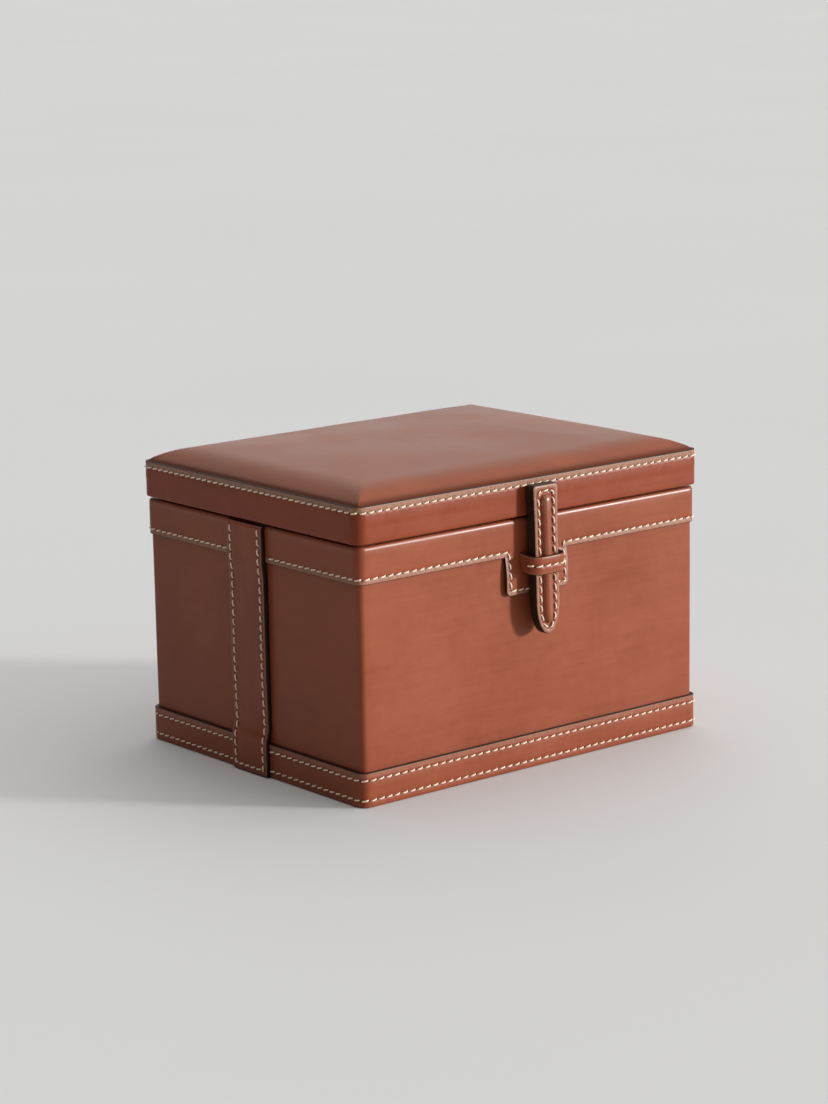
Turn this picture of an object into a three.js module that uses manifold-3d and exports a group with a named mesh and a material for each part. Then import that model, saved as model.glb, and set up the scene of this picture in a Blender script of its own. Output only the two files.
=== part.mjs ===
// Leather jewellery case: a padded lid on two brass stop hinges, a latch strap that tucks
// through a keeper loop, and a lift-out tray over a deep compartment.
// Millimetres. +Z is up, +X is to the right and -Y is the front.
// The origin is the centre of the underside.
import * as THREE from 'three';
import { mergeVertices } from 'three/addons/utils/BufferGeometryUtils.js';
import Module from 'manifold-3d';

const wasm = await Module();
wasm.setup();

// ---- Driving dimensions ----

// Every outside and inside face is stated as an offset from the body panels' outer face.
const PANEL_X = 236;
const PANEL_Y = 186;
const PANEL_CORNER = 3.5;
const INSIDE_CORNER = 0.8;
const CORNER_STEPS = 4;

const GLUE = 0.1;
const LEATHER = 1.4;
const LINING = 1.1;
const CASE_BOARD = 5;
const LID_BOARD = 4.5;

// Heights of the case, from the underside up.
const BASE_COVER_TOP = 1.2;
const BASE_BAND_TOP = 18.7;
const COLLAR_LOW = 117.3;
const RIM_TOP = 137.1;
const RIM_CAP = 1.4;
const RIM_ROUND = 1.6;
const COLLAR_TURN_IN = 12;

// How far each leather band stands out from the panels.
const BASE_BAND_OUT = 2;
const COLLAR_OUT = 1.2;
const LID_OUT = 2.4;

// Heights of the lid.
const LID_LOW = 138.7;
const LID_RIM = 158.2;
const LID_ROUND = 1.5;
const LID_TOP_BOARD_LOW = 151.9;
const LID_TOP_BOARD_TOP = 156.5;
const LID_LIP_GAP = 0.2;
const EDGE_BEVEL = 0.4;

// The padded top: its height at the shoulder and in the middle, and how far in these lie.
const CROWN_SHOULDER = 8.1;
const CROWN_CENTRE = 9;
const CROWN_RISE = 24;
const CROWN_MIDDLE = 62;
const CROWN_POWER = 2.6;
const CROWN_STEPS = 6;
const CROWN_CORNER_GROWTH = 0.6;
const CROWN_START = 157.85;

// The drop tab of the collar, at the front.
const TAB_HALF = 22;
const TAB_LOW = 96.5;
const TAB_CORNER = 3;

// The side straps.
const SIDE_STRAP_WIDTH = 31;
const SIDE_STRAP_THICK = 1.6;
const SIDE_STRAP_LOW = 0.8;
const SIDE_STRAP_HIGH = 135.5;

// The latch strap: backing, core and face, with a raised rib down the middle.
const STRAP_HALF = 8.7;
const STRAP_TOP = 155.2;
const STRAP_TIP = 74.6;
const STRAP_TIP_START = 91.6;
const STRAP_TOP_CORNER = 1.5;
const STRAP_LAYER = 1.6;
const STRAP_CORE = 2.2;
const RIB_HALF = 4;
const RIB_HEIGHT = 1.7;
const RIB_END_LOW = 80;
const RIB_END_HIGH = 151.7;
const RIB_SEGMENTS = 6;
const STRAP_PIVOT_Z = LID_LOW;
const STRAP_PIVOT_CLEARANCE = 0.15;

// The keeper loop.
const KEEPER_LOW = 106.2;
const KEEPER_HIGH = 117.9;
const KEEPER_THICK = 1.4;
const KEEPER_HALF_FRONT = 10.8;
const KEEPER_HALF_BACK = 12;
const KEEPER_CLEARANCE = 0.3;
const KEEPER_BOW = 0.5;
const KEEPER_BOW_HALF = 4.6;
const KEEPER_CORNER = 2.4;

// The stop hinges.
const HINGE_X = 70;
const HINGE_WIDTH = 24;
const HINGE_LEAF = 0.6;
const HINGE_LEAF_INNER_Y = 86.5;
const HINGE_AXIS_Z = 137.9;
const KNUCKLE_RADIUS = 2;
const KNUCKLE_BORE = 0.8;
const KNUCKLE_LENGTH = 8;
const KNUCKLE_GAP = 0.3;
const PIN_RADIUS = 0.72;
const LEAF_CLEARANCE = 0.4;
const LUG_REACH = 6;
const LUG_THICK = 1.2;
const OPENING_ANGLE = 100;
const LOWER_LUG_ANGLE = -60;
const LUG_STOP_GAP_ANGLE = 1;
const ROUND_SEGMENTS = 20;

// The hinge screws.
const SCREW_SPACING = 16;
const SCREW_HEAD = 1.9;
const SCREW_HEAD_DEPTH = 0.9;
const SCREW_SHANK = 0.9;
const SCREW_LENGTH = 8;
const SCREW_POINT = 1.5;
const SCREW_CLEARANCE = 0.12;
const SCREW_SLOT_WIDTH = 0.5;
const SCREW_SLOT_DEPTH = 0.35;
const SCREW_SEGMENTS = 12;

// The tray and its rests.
const TRAY_CLEARANCE = 1;
const TRAY_LOW = 96;
const TRAY_BASE = 2.5;
const TRAY_WALL = 3;
const TRAY_TOP = 133;
const DIVIDER = 2.4;
const DIVIDER_TOP = 128;
const CROSS_DIVIDER_X = 42;
const REST_WIDTH = 6;
const REST_HEIGHT = 3;
const RING_ROLLS = 5;
const RING_ROLL_GAP = 0.8;
const RING_ROLL_HEIGHT = 24;
const PULL_TAB_WIDTH = 18;
const PULL_TAB_THICK = 2;
const PULL_TAB_TOP = 135.4;

// ---- Levels and faces worked out from the dimensions ----

const HALF_X = PANEL_X / 2;
const HALF_Y = PANEL_Y / 2;
const WALL_OUT = -(LEATHER + GLUE);
const WALL_IN = WALL_OUT - CASE_BOARD;
const LINING_OUT = WALL_IN - GLUE;
const LINING_IN = LINING_OUT - LINING;
const BOTTOM_BOARD_LOW = BASE_COVER_TOP + GLUE;
const BOTTOM_BOARD_TOP = BOTTOM_BOARD_LOW + CASE_BOARD;
const WALL_LOW = BOTTOM_BOARD_TOP + GLUE;
const WALL_TOP = RIM_TOP - RIM_CAP - GLUE;
const LINING_FLOOR_TOP = WALL_LOW + LINING;
const COLLAR_INSIDE_LOW = RIM_TOP - COLLAR_TURN_IN;

const LID_BAND_IN = LID_OUT - LEATHER;
const LID_BOARD_OUT = LID_BAND_IN - GLUE;
const LID_BOARD_IN = LID_BOARD_OUT - LID_BOARD;
const LID_LINING_OUT = LID_BOARD_IN - GLUE;
const LID_LINING_IN = LID_LINING_OUT - LINING;
const LID_WALL_LOW = LID_LOW + LEATHER + GLUE;
const LID_WALL_TOP = LID_TOP_BOARD_LOW - GLUE;

const STRAP_BACK_Y = -(HALF_Y + LID_OUT + GLUE);
const STRAP_THICK = 2 * STRAP_LAYER + STRAP_CORE + 2 * GLUE;
const STRAP_FRONT_Y = STRAP_BACK_Y - STRAP_THICK;
const STRAP_FACE_BACK_Y = STRAP_FRONT_Y + STRAP_LAYER;

const KEEPER_END_Y = -HALF_Y - GLUE;

const HINGE_AXIS_Y = HALF_Y + LID_OUT + LEAF_CLEARANCE + KNUCKLE_RADIUS;
const LEAF_GAP = 0.1;
const CASE_SCREW_Y = HALF_Y + WALL_OUT - CASE_BOARD / 2;
const LID_SCREW_Y = HALF_Y + LID_BOARD_OUT - LID_BOARD / 2;

const TRAY_HALF_X = HALF_X + LINING_IN - TRAY_CLEARANCE;
const TRAY_HALF_Y = HALF_Y + LINING_IN - TRAY_CLEARANCE;
const TRAY_FLOOR = TRAY_LOW + TRAY_BASE + GLUE;
const TRAY_INSIDE_X = TRAY_HALF_X - TRAY_WALL - GLUE;
const TRAY_INSIDE_Y = TRAY_HALF_Y - TRAY_WALL - GLUE;

// ---- Materials ----

function tanLeather() {
  return new THREE.MeshStandardMaterial({ color: 0x9a5238, roughness: 0.5, metalness: 0 });
}

function padLeather() {
  return new THREE.MeshStandardMaterial({ color: 0xa05d46, roughness: 0.45, metalness: 0 });
}

function suede() {
  return new THREE.MeshStandardMaterial({ color: 0xb9977a, roughness: 0.95, metalness: 0 });
}

function board() {
  return new THREE.MeshStandardMaterial({ color: 0xc4a57c, roughness: 0.85, metalness: 0 });
}

function foam() {
  return new THREE.MeshStandardMaterial({ color: 0xe8e2d0, roughness: 1, metalness: 0 });
}

function brass() {
  return new THREE.MeshStandardMaterial({ color: 0xc8a24e, roughness: 0.3, metalness: 1 });
}

// ---- Geometry helpers ----

function box(x0, x1, y0, y1, z0, z1) {
  const geometry = new THREE.BoxGeometry(x1 - x0, y1 - y0, z1 - z0);
  return geometry.translate((x0 + x1) / 2, (y0 + y1) / 2, (z0 + z1) / 2);
}

// A closed outline in plan, counter-clockwise from +X: the panels' rectangle grown by offset.
function planRing(offset, z, corner = Math.max(PANEL_CORNER + offset, INSIDE_CORNER)) {
  const centreX = HALF_X + offset - corner;
  const centreY = HALF_Y + offset - corner;
  const ring = [];
  for (let quarter = 0; quarter < 4; quarter++) {
    const sideX = quarter === 0 || quarter === 3 ? 1 : -1;
    const sideY = quarter < 2 ? 1 : -1;
    for (let step = 0; step <= CORNER_STEPS; step++) {
      const angle = (quarter + step / CORNER_STEPS) * Math.PI / 2;
      const x = sideX * centreX + corner * Math.cos(angle);
      const y = sideY * centreY + corner * Math.sin(angle);
      ring.push(new THREE.Vector3(x, y, z));
    }
  }
  return ring;
}

function strip(indices, lower, upper, count) {
  for (let i = 0; i < count; i++) {
    const next = (i + 1) % count;
    indices.push(lower + i, lower + next, upper + next);
    indices.push(lower + i, upper + next, upper + i);
  }
}

function cap(positions, indices, ring, start, faceUp) {
  const centre = positions.length / 3;
  positions.push(0, 0, ring[0].z);
  for (let i = 0; i < ring.length; i++) {
    const here = start + i;
    const next = start + (i + 1) % ring.length;
    indices.push(centre, faceUp ? here : next, faceUp ? next : here);
  }
}

// A skin over a series of plan rings. As a band it closes on itself; otherwise its two
// ends are capped, the first facing down and the last facing up.
function skin(rings, isBand) {
  const count = rings[0].length;
  const positions = rings.flat().flatMap((point) => [point.x, point.y, point.z]);
  const indices = [];
  for (let k = 0; k + 1 < rings.length; k++) {
    strip(indices, k * count, (k + 1) * count, count);
  }
  if (isBand) {
    strip(indices, (rings.length - 1) * count, 0, count);
  } else {
    cap(positions, indices, rings[0], 0, false);
    cap(positions, indices, rings.at(-1), (rings.length - 1) * count, true);
  }
  const geometry = new THREE.BufferGeometry();
  geometry.setAttribute('position', new THREE.Float32BufferAttribute(positions, 3));
  geometry.setIndex(indices);
  geometry.computeVertexNormals();
  return geometry;
}

// A band round the case. Its section is a list of [offset, z], counter-clockwise.
function band(section) {
  return skin(section.map(([offset, z]) => planRing(offset, z)), true);
}

// A flat sheet the shape of the case's plan.
function sheet(offset, z0, z1) {
  return skin([planRing(offset, z0), planRing(offset, z1)], false);
}

// Points of a quarter circle in a section, from one angle to another, in degrees.
function arc(centreOffset, centreZ, radius, fromAngle, toAngle, steps = 4) {
  const points = [];
  for (let step = 0; step <= steps; step++) {
    const angle = THREE.MathUtils.degToRad(fromAngle + (toAngle - fromAngle) * step / steps);
    points.push([centreOffset + radius * Math.cos(angle), centreZ + radius * Math.sin(angle)]);
  }
  return points;
}

function extrude(shape, length, curveSegments) {
  const settings = { depth: length, bevelEnabled: false, curveSegments };
  return new THREE.ExtrudeGeometry(shape, settings);
}

function extrudeAlongZ(shape, z0, z1, curveSegments = 5) {
  return extrude(shape, z1 - z0, curveSegments).translate(0, 0, z0);
}

// The shape's own axes become X and Z.
function extrudeAlongY(shape, y0, y1, curveSegments = 5) {
  return extrude(shape, y1 - y0, curveSegments).rotateX(Math.PI / 2).translate(0, y1, 0);
}

// The shape's own axes become Y and Z.
function extrudeAlongX(shape, x0, x1, curveSegments = 5) {
  const geometry = extrude(shape, x1 - x0, curveSegments);
  return geometry.rotateX(Math.PI / 2).rotateZ(Math.PI / 2).translate(x0, 0, 0);
}

function rodAlongX(radius, x0, x1, y, z) {
  const geometry = new THREE.CylinderGeometry(radius, radius, x1 - x0, ROUND_SEGMENTS);
  return geometry.rotateZ(Math.PI / 2).translate((x0 + x1) / 2, y, z);
}

// A rectangle with its four corners rounded, the radii given from lower left, clockwise.
function roundedRectangle(x0, x1, y0, y1, [lowLeft, highLeft, highRight, lowRight]) {
  const shape = new THREE.Shape();
  shape.moveTo(x0 + lowLeft, y0);
  shape.lineTo(x1 - lowRight, y0);
  if (lowRight) shape.absarc(x1 - lowRight, y0 + lowRight, lowRight, -Math.PI / 2, 0);
  shape.lineTo(x1, y1 - highRight);
  if (highRight) shape.absarc(x1 - highRight, y1 - highRight, highRight, 0, Math.PI / 2);
  shape.lineTo(x0 + highLeft, y1);
  if (highLeft) shape.absarc(x0 + highLeft, y1 - highLeft, highLeft, Math.PI / 2, Math.PI);
  shape.lineTo(x0, y0 + lowLeft);
  if (lowLeft) shape.absarc(x0 + lowLeft, y0 + lowLeft, lowLeft, Math.PI, 1.5 * Math.PI);
  return shape;
}

function toSolid(geometry) {
  const bare = geometry.clone();
  bare.deleteAttribute('normal');
  bare.deleteAttribute('uv');
  const merged = mergeVertices(bare);
  const mesh = new wasm.Mesh({
    numProp: 3,
    vertProperties: new Float32Array(merged.attributes.position.array),
    triVerts: new Uint32Array(merged.index.array),
  });
  return new wasm.Manifold(mesh);
}

function toGeometry(solid) {
  const mesh = solid.getMesh();
  const geometry = new THREE.BufferGeometry();
  geometry.setAttribute('position', new THREE.BufferAttribute(mesh.vertProperties, mesh.numProp));
  geometry.setIndex(new THREE.BufferAttribute(mesh.triVerts, 1));
  geometry.computeVertexNormals();
  return geometry;
}

function join(geometries) {
  return geometries.map(toSolid).reduce((whole, piece) => whole.add(piece));
}

function cut(solid, geometries) {
  return geometries.map(toSolid).reduce((rest, tool) => rest.subtract(tool), solid);
}

function part(name, geometry, material) {
  const mesh = new THREE.Mesh(geometry, material);
  mesh.name = name;
  return mesh;
}

// ---- Hinges and screws ----

function screwProfile(extra) {
  const radius = SCREW_SHANK + extra;
  return [
    new THREE.Vector2(0, -SCREW_LENGTH - extra),
    new THREE.Vector2(radius, SCREW_POINT - SCREW_LENGTH - extra),
    new THREE.Vector2(radius, -SCREW_HEAD_DEPTH - extra),
    new THREE.Vector2(SCREW_HEAD + extra, 0),
    new THREE.Vector2(0, 0),
  ];
}

// The screw points down from its head at z 0, or up when turned over.
function screwBlank(extra, pointsUp, x, y, z) {
  const geometry = new THREE.LatheGeometry(screwProfile(extra), SCREW_SEGMENTS);
  return geometry.rotateX(pointsUp ? -Math.PI / 2 : Math.PI / 2).translate(x, y, z);
}

const CASE_SCREW_Z = HINGE_AXIS_Z - LEAF_GAP;
const LID_SCREW_Z = HINGE_AXIS_Z + LEAF_GAP;

function screwPlaces(hingeX) {
  return [hingeX - SCREW_SPACING / 2, hingeX + SCREW_SPACING / 2];
}

function caseScrewHoles() {
  const places = [-HINGE_X, HINGE_X].flatMap(screwPlaces);
  return places.map((x) => screwBlank(SCREW_CLEARANCE, false, x, CASE_SCREW_Y, CASE_SCREW_Z));
}

function lidScrewHoles() {
  const places = [-HINGE_X, HINGE_X].flatMap(screwPlaces);
  return places.map((x) => screwBlank(SCREW_CLEARANCE, true, x, LID_SCREW_Y, LID_SCREW_Z));
}

function screw(name, x, pointsUp) {
  const y = pointsUp ? LID_SCREW_Y : CASE_SCREW_Y;
  const z = pointsUp ? LID_SCREW_Z : CASE_SCREW_Z;
  const depth = pointsUp ? SCREW_SLOT_DEPTH : -SCREW_SLOT_DEPTH;
  const reach = 2 * SCREW_HEAD;
  const half = SCREW_SLOT_WIDTH / 2;
  const slot = box(x - reach, x + reach, y - half, y + half, z - Math.abs(depth), z + Math.abs(depth));
  const solid = cut(toSolid(screwBlank(0, pointsUp, x, y, z)), [slot]);
  return part(name, toGeometry(solid), brass());
}

function hingeScrews(side, level, hingeX) {
  const names = ['outer', 'inner'];
  const places = screwPlaces(hingeX).sort((a, b) => Math.abs(b) - Math.abs(a));
  return places.map((x, i) => screw(`hinge_${side}_${level}_screw_${names[i]}`, x, level === 'upper'));
}

// A lug is a plate whose stop face lies on a plane through the hinge axis.
function lug(x0, x1, fromRadius, angle, liesAbove) {
  const thick = liesAbove ? LUG_THICK : -LUG_THICK;
  const plate = box(x0, x1, fromRadius, LUG_REACH, Math.min(0, thick), Math.max(0, thick));
  plate.rotateX(THREE.MathUtils.degToRad(angle));
  return plate.translate(0, HINGE_AXIS_Y, HINGE_AXIS_Z);
}

// The upper leaf owns the two outer knuckles, and the lower leaf the middle one.
function hingeLeaf(name, hingeX, isUpper) {
  const left = hingeX - HINGE_WIDTH / 2;
  const right = hingeX + HINGE_WIDTH / 2;
  const halfKnuckle = KNUCKLE_LENGTH / 2;
  const outer = [
    [left, hingeX - halfKnuckle - KNUCKLE_GAP],
    [hingeX + halfKnuckle + KNUCKLE_GAP, right],
  ];
  const knuckles = isUpper ? outer : [[hingeX - halfKnuckle, hingeX + halfKnuckle]];
  const z0 = isUpper ? HINGE_AXIS_Z + LEAF_GAP : HINGE_AXIS_Z - LEAF_GAP - HINGE_LEAF;
  const plateEnd = HINGE_AXIS_Y - KNUCKLE_RADIUS - LEAF_CLEARANCE / 2;
  const stopAngle = LOWER_LUG_ANGLE + OPENING_ANGLE + LUG_STOP_GAP_ANGLE;
  const lugAngle = isUpper ? stopAngle : LOWER_LUG_ANGLE;
  const clearOfBarrel = KNUCKLE_RADIUS + KNUCKLE_GAP;
  const pieces = [
    box(left, right, HINGE_LEAF_INNER_Y, plateEnd, z0, z0 + HINGE_LEAF),
    lug(left, right, clearOfBarrel, lugAngle, isUpper),
  ];
  for (const [x0, x1] of knuckles) {
    pieces.push(rodAlongX(KNUCKLE_RADIUS, x0, x1, HINGE_AXIS_Y, HINGE_AXIS_Z));
    pieces.push(box(x0, x1, plateEnd - 1, HINGE_AXIS_Y - 1, z0, z0 + HINGE_LEAF));
    pieces.push(lug(x0, x1, KNUCKLE_RADIUS / 2, lugAngle, isUpper));
  }
  const bore = rodAlongX(KNUCKLE_BORE, left - 1, right + 1, HINGE_AXIS_Y, HINGE_AXIS_Z);
  const holes = isUpper ? lidScrewHoles() : caseScrewHoles();
  return part(name, toGeometry(cut(join(pieces), [bore, ...holes])), brass());
}

function hingePin(name, hingeX) {
  const half = HINGE_WIDTH / 2;
  const rod = rodAlongX(PIN_RADIUS, hingeX - half, hingeX + half, HINGE_AXIS_Y, HINGE_AXIS_Z);
  return part(name, rod, brass());
}

// ---- Case ----

function bottomBoard() {
  return part('bottom_board', sheet(WALL_OUT, BOTTOM_BOARD_LOW, BOTTOM_BOARD_TOP), board());
}

// A long wall board spans the full width, and has its two outside corners rounded.
function longWall(offset, thick, z0, z1) {
  const half = HALF_X + offset;
  const outerY = HALF_Y + offset;
  const corner = PANEL_CORNER + offset;
  const plan = roundedRectangle(-half, half, outerY - thick, outerY, [0, corner, corner, 0]);
  return extrudeAlongZ(plan, z0, z1);
}

// A short wall board fits between the two long ones.
function shortWall(offset, thick, z0, z1) {
  const outerX = HALF_X + offset;
  const half = HALF_Y + offset - thick - GLUE;
  return box(outerX - thick, outerX, -half, half, z0, z1);
}

function caseWalls() {
  const back = toSolid(longWall(WALL_OUT, CASE_BOARD, WALL_LOW, WALL_TOP));
  const front = longWall(WALL_OUT, CASE_BOARD, WALL_LOW, WALL_TOP).rotateZ(Math.PI);
  const left = shortWall(WALL_OUT, CASE_BOARD, WALL_LOW, WALL_TOP).rotateZ(Math.PI);
  const right = shortWall(WALL_OUT, CASE_BOARD, WALL_LOW, WALL_TOP);
  return [
    part('back_board', toGeometry(cut(back, caseScrewHoles())), board()),
    part('front_board', front, board()),
    part('left_board', left, board()),
    part('right_board', right, board()),
  ];
}

function bodyLeather() {
  const section = [
    [0, BOTTOM_BOARD_LOW],
    [0, WALL_TOP],
    [-LEATHER, WALL_TOP],
    [-LEATHER, BOTTOM_BOARD_LOW],
  ];
  return part('body_leather', band(section), tanLeather());
}

function baseCover() {
  return part('base_cover', sheet(0, 0, BASE_COVER_TOP), suede());
}

function baseBand() {
  const foot = 1;
  const section = [
    [GLUE, 0],
    ...arc(BASE_BAND_OUT - foot, foot, foot, -90, 0),
    [BASE_BAND_OUT, BASE_BAND_TOP - EDGE_BEVEL],
    [BASE_BAND_OUT - EDGE_BEVEL, BASE_BAND_TOP],
    [GLUE, BASE_BAND_TOP],
  ];
  return part('base_band', band(section), tanLeather());
}

function collarSection() {
  return [
    [COLLAR_OUT, COLLAR_LOW],
    ...arc(COLLAR_OUT - RIM_ROUND, RIM_TOP - RIM_ROUND, RIM_ROUND, 0, 90),
    [LINING_IN + EDGE_BEVEL, RIM_TOP],
    [LINING_IN, RIM_TOP - EDGE_BEVEL],
    [LINING_IN, COLLAR_INSIDE_LOW],
    [LINING_OUT, COLLAR_INSIDE_LOW],
    [LINING_OUT, RIM_TOP - RIM_CAP],
    [GLUE, RIM_TOP - RIM_CAP],
    [GLUE, COLLAR_LOW],
  ];
}

function dropTab() {
  const overlap = 2;
  const corners = [TAB_CORNER, 0, 0, TAB_CORNER];
  const shape = roundedRectangle(-TAB_HALF, TAB_HALF, TAB_LOW, COLLAR_LOW + overlap, corners);
  return extrudeAlongY(shape, -HALF_Y - COLLAR_OUT, -HALF_Y - GLUE);
}

// The keeper's two ends pass through slots in the drop tab.
function keeperSlots() {
  const depth = 3;
  const slack = 0.15;
  const slant = 0.4;
  return [-1, 1].map((side) => {
    const outer = side * (KEEPER_HALF_BACK + slack);
    const inner = side * (KEEPER_HALF_BACK - KEEPER_THICK - slant);
    const x0 = Math.min(outer, inner);
    const x1 = Math.max(outer, inner);
    return box(x0, x1, -HALF_Y - depth, -HALF_Y, KEEPER_LOW - slack, KEEPER_HIGH + slack);
  });
}

function collarBand() {
  const solid = toSolid(band(collarSection())).add(toSolid(dropTab()));
  const cuts = [...keeperSlots(), ...caseScrewHoles()];
  return part('collar_band', toGeometry(cut(solid, cuts)), tanLeather());
}

// The strap follows the collar, steps in to the panel and steps out over the base band.
function sideStrap(name, side) {
  const overBase = HALF_X + BASE_BAND_OUT + GLUE;
  const overPanel = HALF_X + GLUE;
  const overCollar = HALF_X + COLLAR_OUT + GLUE;
  const step = 5;
  const inside = [
    [overBase, SIDE_STRAP_LOW],
    [overBase, BASE_BAND_TOP + GLUE],
    [overPanel, BASE_BAND_TOP + step],
    [overPanel, COLLAR_LOW - 2 * step],
    [overCollar, COLLAR_LOW - GLUE],
    [overCollar, SIDE_STRAP_HIGH],
  ];
  const outline = inside.map(([x, z]) => new THREE.Vector2(x, z));
  for (const [x, z] of [...inside].reverse()) {
    outline.push(new THREE.Vector2(x + SIDE_STRAP_THICK, z));
  }
  const half = SIDE_STRAP_WIDTH / 2;
  const geometry = extrudeAlongY(new THREE.Shape(outline), -half, half);
  return part(name, geometry.rotateZ(side > 0 ? 0 : Math.PI), tanLeather());
}

// One face of the keeper from above, from the end of one leg to the end of the other. The
// front is bowed, and its corners are rounded.
function keeperFace(shape, side, grow) {
  const legX = side * (KEEPER_HALF_BACK - KEEPER_THICK + grow);
  const cornerX = side * (KEEPER_HALF_FRONT - KEEPER_THICK + grow);
  const bowX = side * KEEPER_BOW_HALF;
  const tipY = STRAP_FRONT_Y - RIB_HEIGHT - KEEPER_CLEARANCE - grow;
  const bowY = tipY + KEEPER_BOW;
  const cornerY = bowY + KEEPER_BOW;
  const legY = cornerY + KEEPER_CORNER;
  shape.lineTo(legX, KEEPER_END_Y);
  shape.lineTo(cornerX, legY);
  shape.quadraticCurveTo(cornerX, cornerY, bowX, bowY);
  shape.quadraticCurveTo(0, tipY - KEEPER_BOW, -bowX, bowY);
  shape.quadraticCurveTo(-cornerX, cornerY, -cornerX, legY);
  shape.lineTo(-legX, KEEPER_END_Y);
}

function keeperLoop() {
  const shape = new THREE.Shape();
  shape.moveTo(-KEEPER_HALF_BACK, KEEPER_END_Y);
  keeperFace(shape, -1, KEEPER_THICK);
  keeperFace(shape, 1, 0);
  return part('keeper_loop', extrudeAlongZ(shape, KEEPER_LOW, KEEPER_HIGH, 3), tanLeather());
}

function caseLinings() {
  const wallSection = [
    [LINING_OUT, LINING_FLOOR_TOP + GLUE],
    [LINING_OUT, COLLAR_INSIDE_LOW - GLUE],
    [LINING_IN, COLLAR_INSIDE_LOW - GLUE],
    [LINING_IN, LINING_FLOOR_TOP + GLUE],
  ];
  return [
    part('lining_floor', sheet(LINING_OUT, WALL_LOW, LINING_FLOOR_TOP), suede()),
    part('lining_wall', band(wallSection), suede()),
  ];
}

function trayRest(name, side) {
  const outer = HALF_X + LINING_IN - GLUE;
  const half = HALF_Y + LINING_IN - INSIDE_CORNER;
  const top = TRAY_LOW - GLUE;
  const geometry = box(outer - REST_WIDTH, outer, -half, half, top - REST_HEIGHT, top);
  return part(name, geometry.rotateZ(side > 0 ? 0 : Math.PI), suede());
}

// ---- Lid ----

function lidWalls() {
  const heights = [LID_WALL_LOW, LID_WALL_TOP];
  const back = toSolid(longWall(LID_BOARD_OUT, LID_BOARD, ...heights));
  const front = longWall(LID_BOARD_OUT, LID_BOARD, ...heights).rotateZ(Math.PI);
  const left = shortWall(LID_BOARD_OUT, LID_BOARD, ...heights).rotateZ(Math.PI);
  const right = shortWall(LID_BOARD_OUT, LID_BOARD, ...heights);
  return [
    part('lid_back_board', toGeometry(cut(back, lidScrewHoles())), board()),
    part('lid_front_board', front, board()),
    part('lid_left_board', left, board()),
    part('lid_right_board', right, board()),
  ];
}

function lidTopBoard() {
  const geometry = sheet(LID_BOARD_OUT, LID_TOP_BOARD_LOW, LID_TOP_BOARD_TOP);
  return part('lid_top_board', geometry, board());
}

// The leather turns under the lid's walls; its top edge stands as a border round the pad.
function lidBand() {
  const section = [
    ...arc(LID_OUT - LID_ROUND, LID_LOW + LID_ROUND, LID_ROUND, -90, 0),
    [LID_OUT, LID_RIM - EDGE_BEVEL],
    [LID_OUT - EDGE_BEVEL, LID_RIM],
    [LID_BAND_IN + EDGE_BEVEL, LID_RIM],
    [LID_BAND_IN, LID_RIM - EDGE_BEVEL],
    [LID_BAND_IN, LID_LOW + LEATHER],
    [LID_BOARD_IN, LID_LOW + LEATHER],
    [LID_BOARD_IN, LID_LOW],
  ];
  return part('lid_band', toGeometry(cut(toSolid(band(section)), lidScrewHoles())), tanLeather());
}

// Rings of the crowned top, from its edge to near its middle. Lowered by drop, it is the
// underside of the leather; the corners grow rounder towards the middle.
function crownRings(drop, inset) {
  const rings = [];
  const start = CROWN_START - drop;
  const edgeCorner = PANEL_CORNER + LID_BOARD_OUT - inset;
  for (let step = 0; step <= CROWN_STEPS; step++) {
    const share = step / CROWN_STEPS;
    const depth = CROWN_RISE * share ** 1.5;
    const rise = CROWN_SHOULDER * (1 - (1 - depth / CROWN_RISE) ** CROWN_POWER);
    const offset = LID_BOARD_OUT - inset - depth;
    rings.push(planRing(offset, start + rise, edgeCorner + CROWN_CORNER_GROWTH * depth));
  }
  const middleOffset = LID_BOARD_OUT - inset - CROWN_MIDDLE;
  rings.push(planRing(middleOffset, start + CROWN_CENTRE, CROWN_RISE));
  return rings;
}

function lidTopLeather() {
  const low = LID_TOP_BOARD_TOP + GLUE;
  const inside = crownRings(LEATHER - GLUE, LEATHER).reverse();
  const edge = [planRing(LID_BOARD_OUT, low)];
  const geometry = skin([...inside, ...edge, ...crownRings(0, 0)], false);
  return part('lid_top_leather', geometry, padLeather());
}

function lidPad() {
  const edge = LEATHER + 2 * GLUE;
  const rings = crownRings(LEATHER + GLUE, edge);
  const foot = planRing(LID_BOARD_OUT - edge, LID_TOP_BOARD_TOP + GLUE);
  const above = rings.filter((ring) => ring[0].z > foot[0].z);
  return part('lid_pad', skin([foot, ...above], false), foam());
}

// The wall lining stands a little below the lid's own leather and rests on the rim. It is
// notched where the hinge leaves pass.
function lidLinings() {
  const wallSection = [
    [LID_LINING_OUT, RIM_TOP + LID_LIP_GAP],
    [LID_LINING_OUT, LID_WALL_TOP - LINING - GLUE],
    [LID_LINING_IN, LID_WALL_TOP - LINING - GLUE],
    [LID_LINING_IN, RIM_TOP + LID_LIP_GAP],
  ];
  const notchHalf = HINGE_WIDTH / 2 + 1;
  const notches = [-HINGE_X, HINGE_X].map((x) => {
    return box(x - notchHalf, x + notchHalf, HALF_Y / 2, HALF_Y, RIM_TOP, LID_LOW + GLUE);
  });
  const wall = cut(toSolid(band(wallSection)), notches);
  const top = sheet(LID_LINING_OUT, LID_WALL_TOP - LINING, LID_WALL_TOP);
  return [
    part('lid_lining_wall', toGeometry(wall), suede()),
    part('lid_lining_top', top, suede()),
  ];
}

// ---- Latch strap ----

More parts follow.
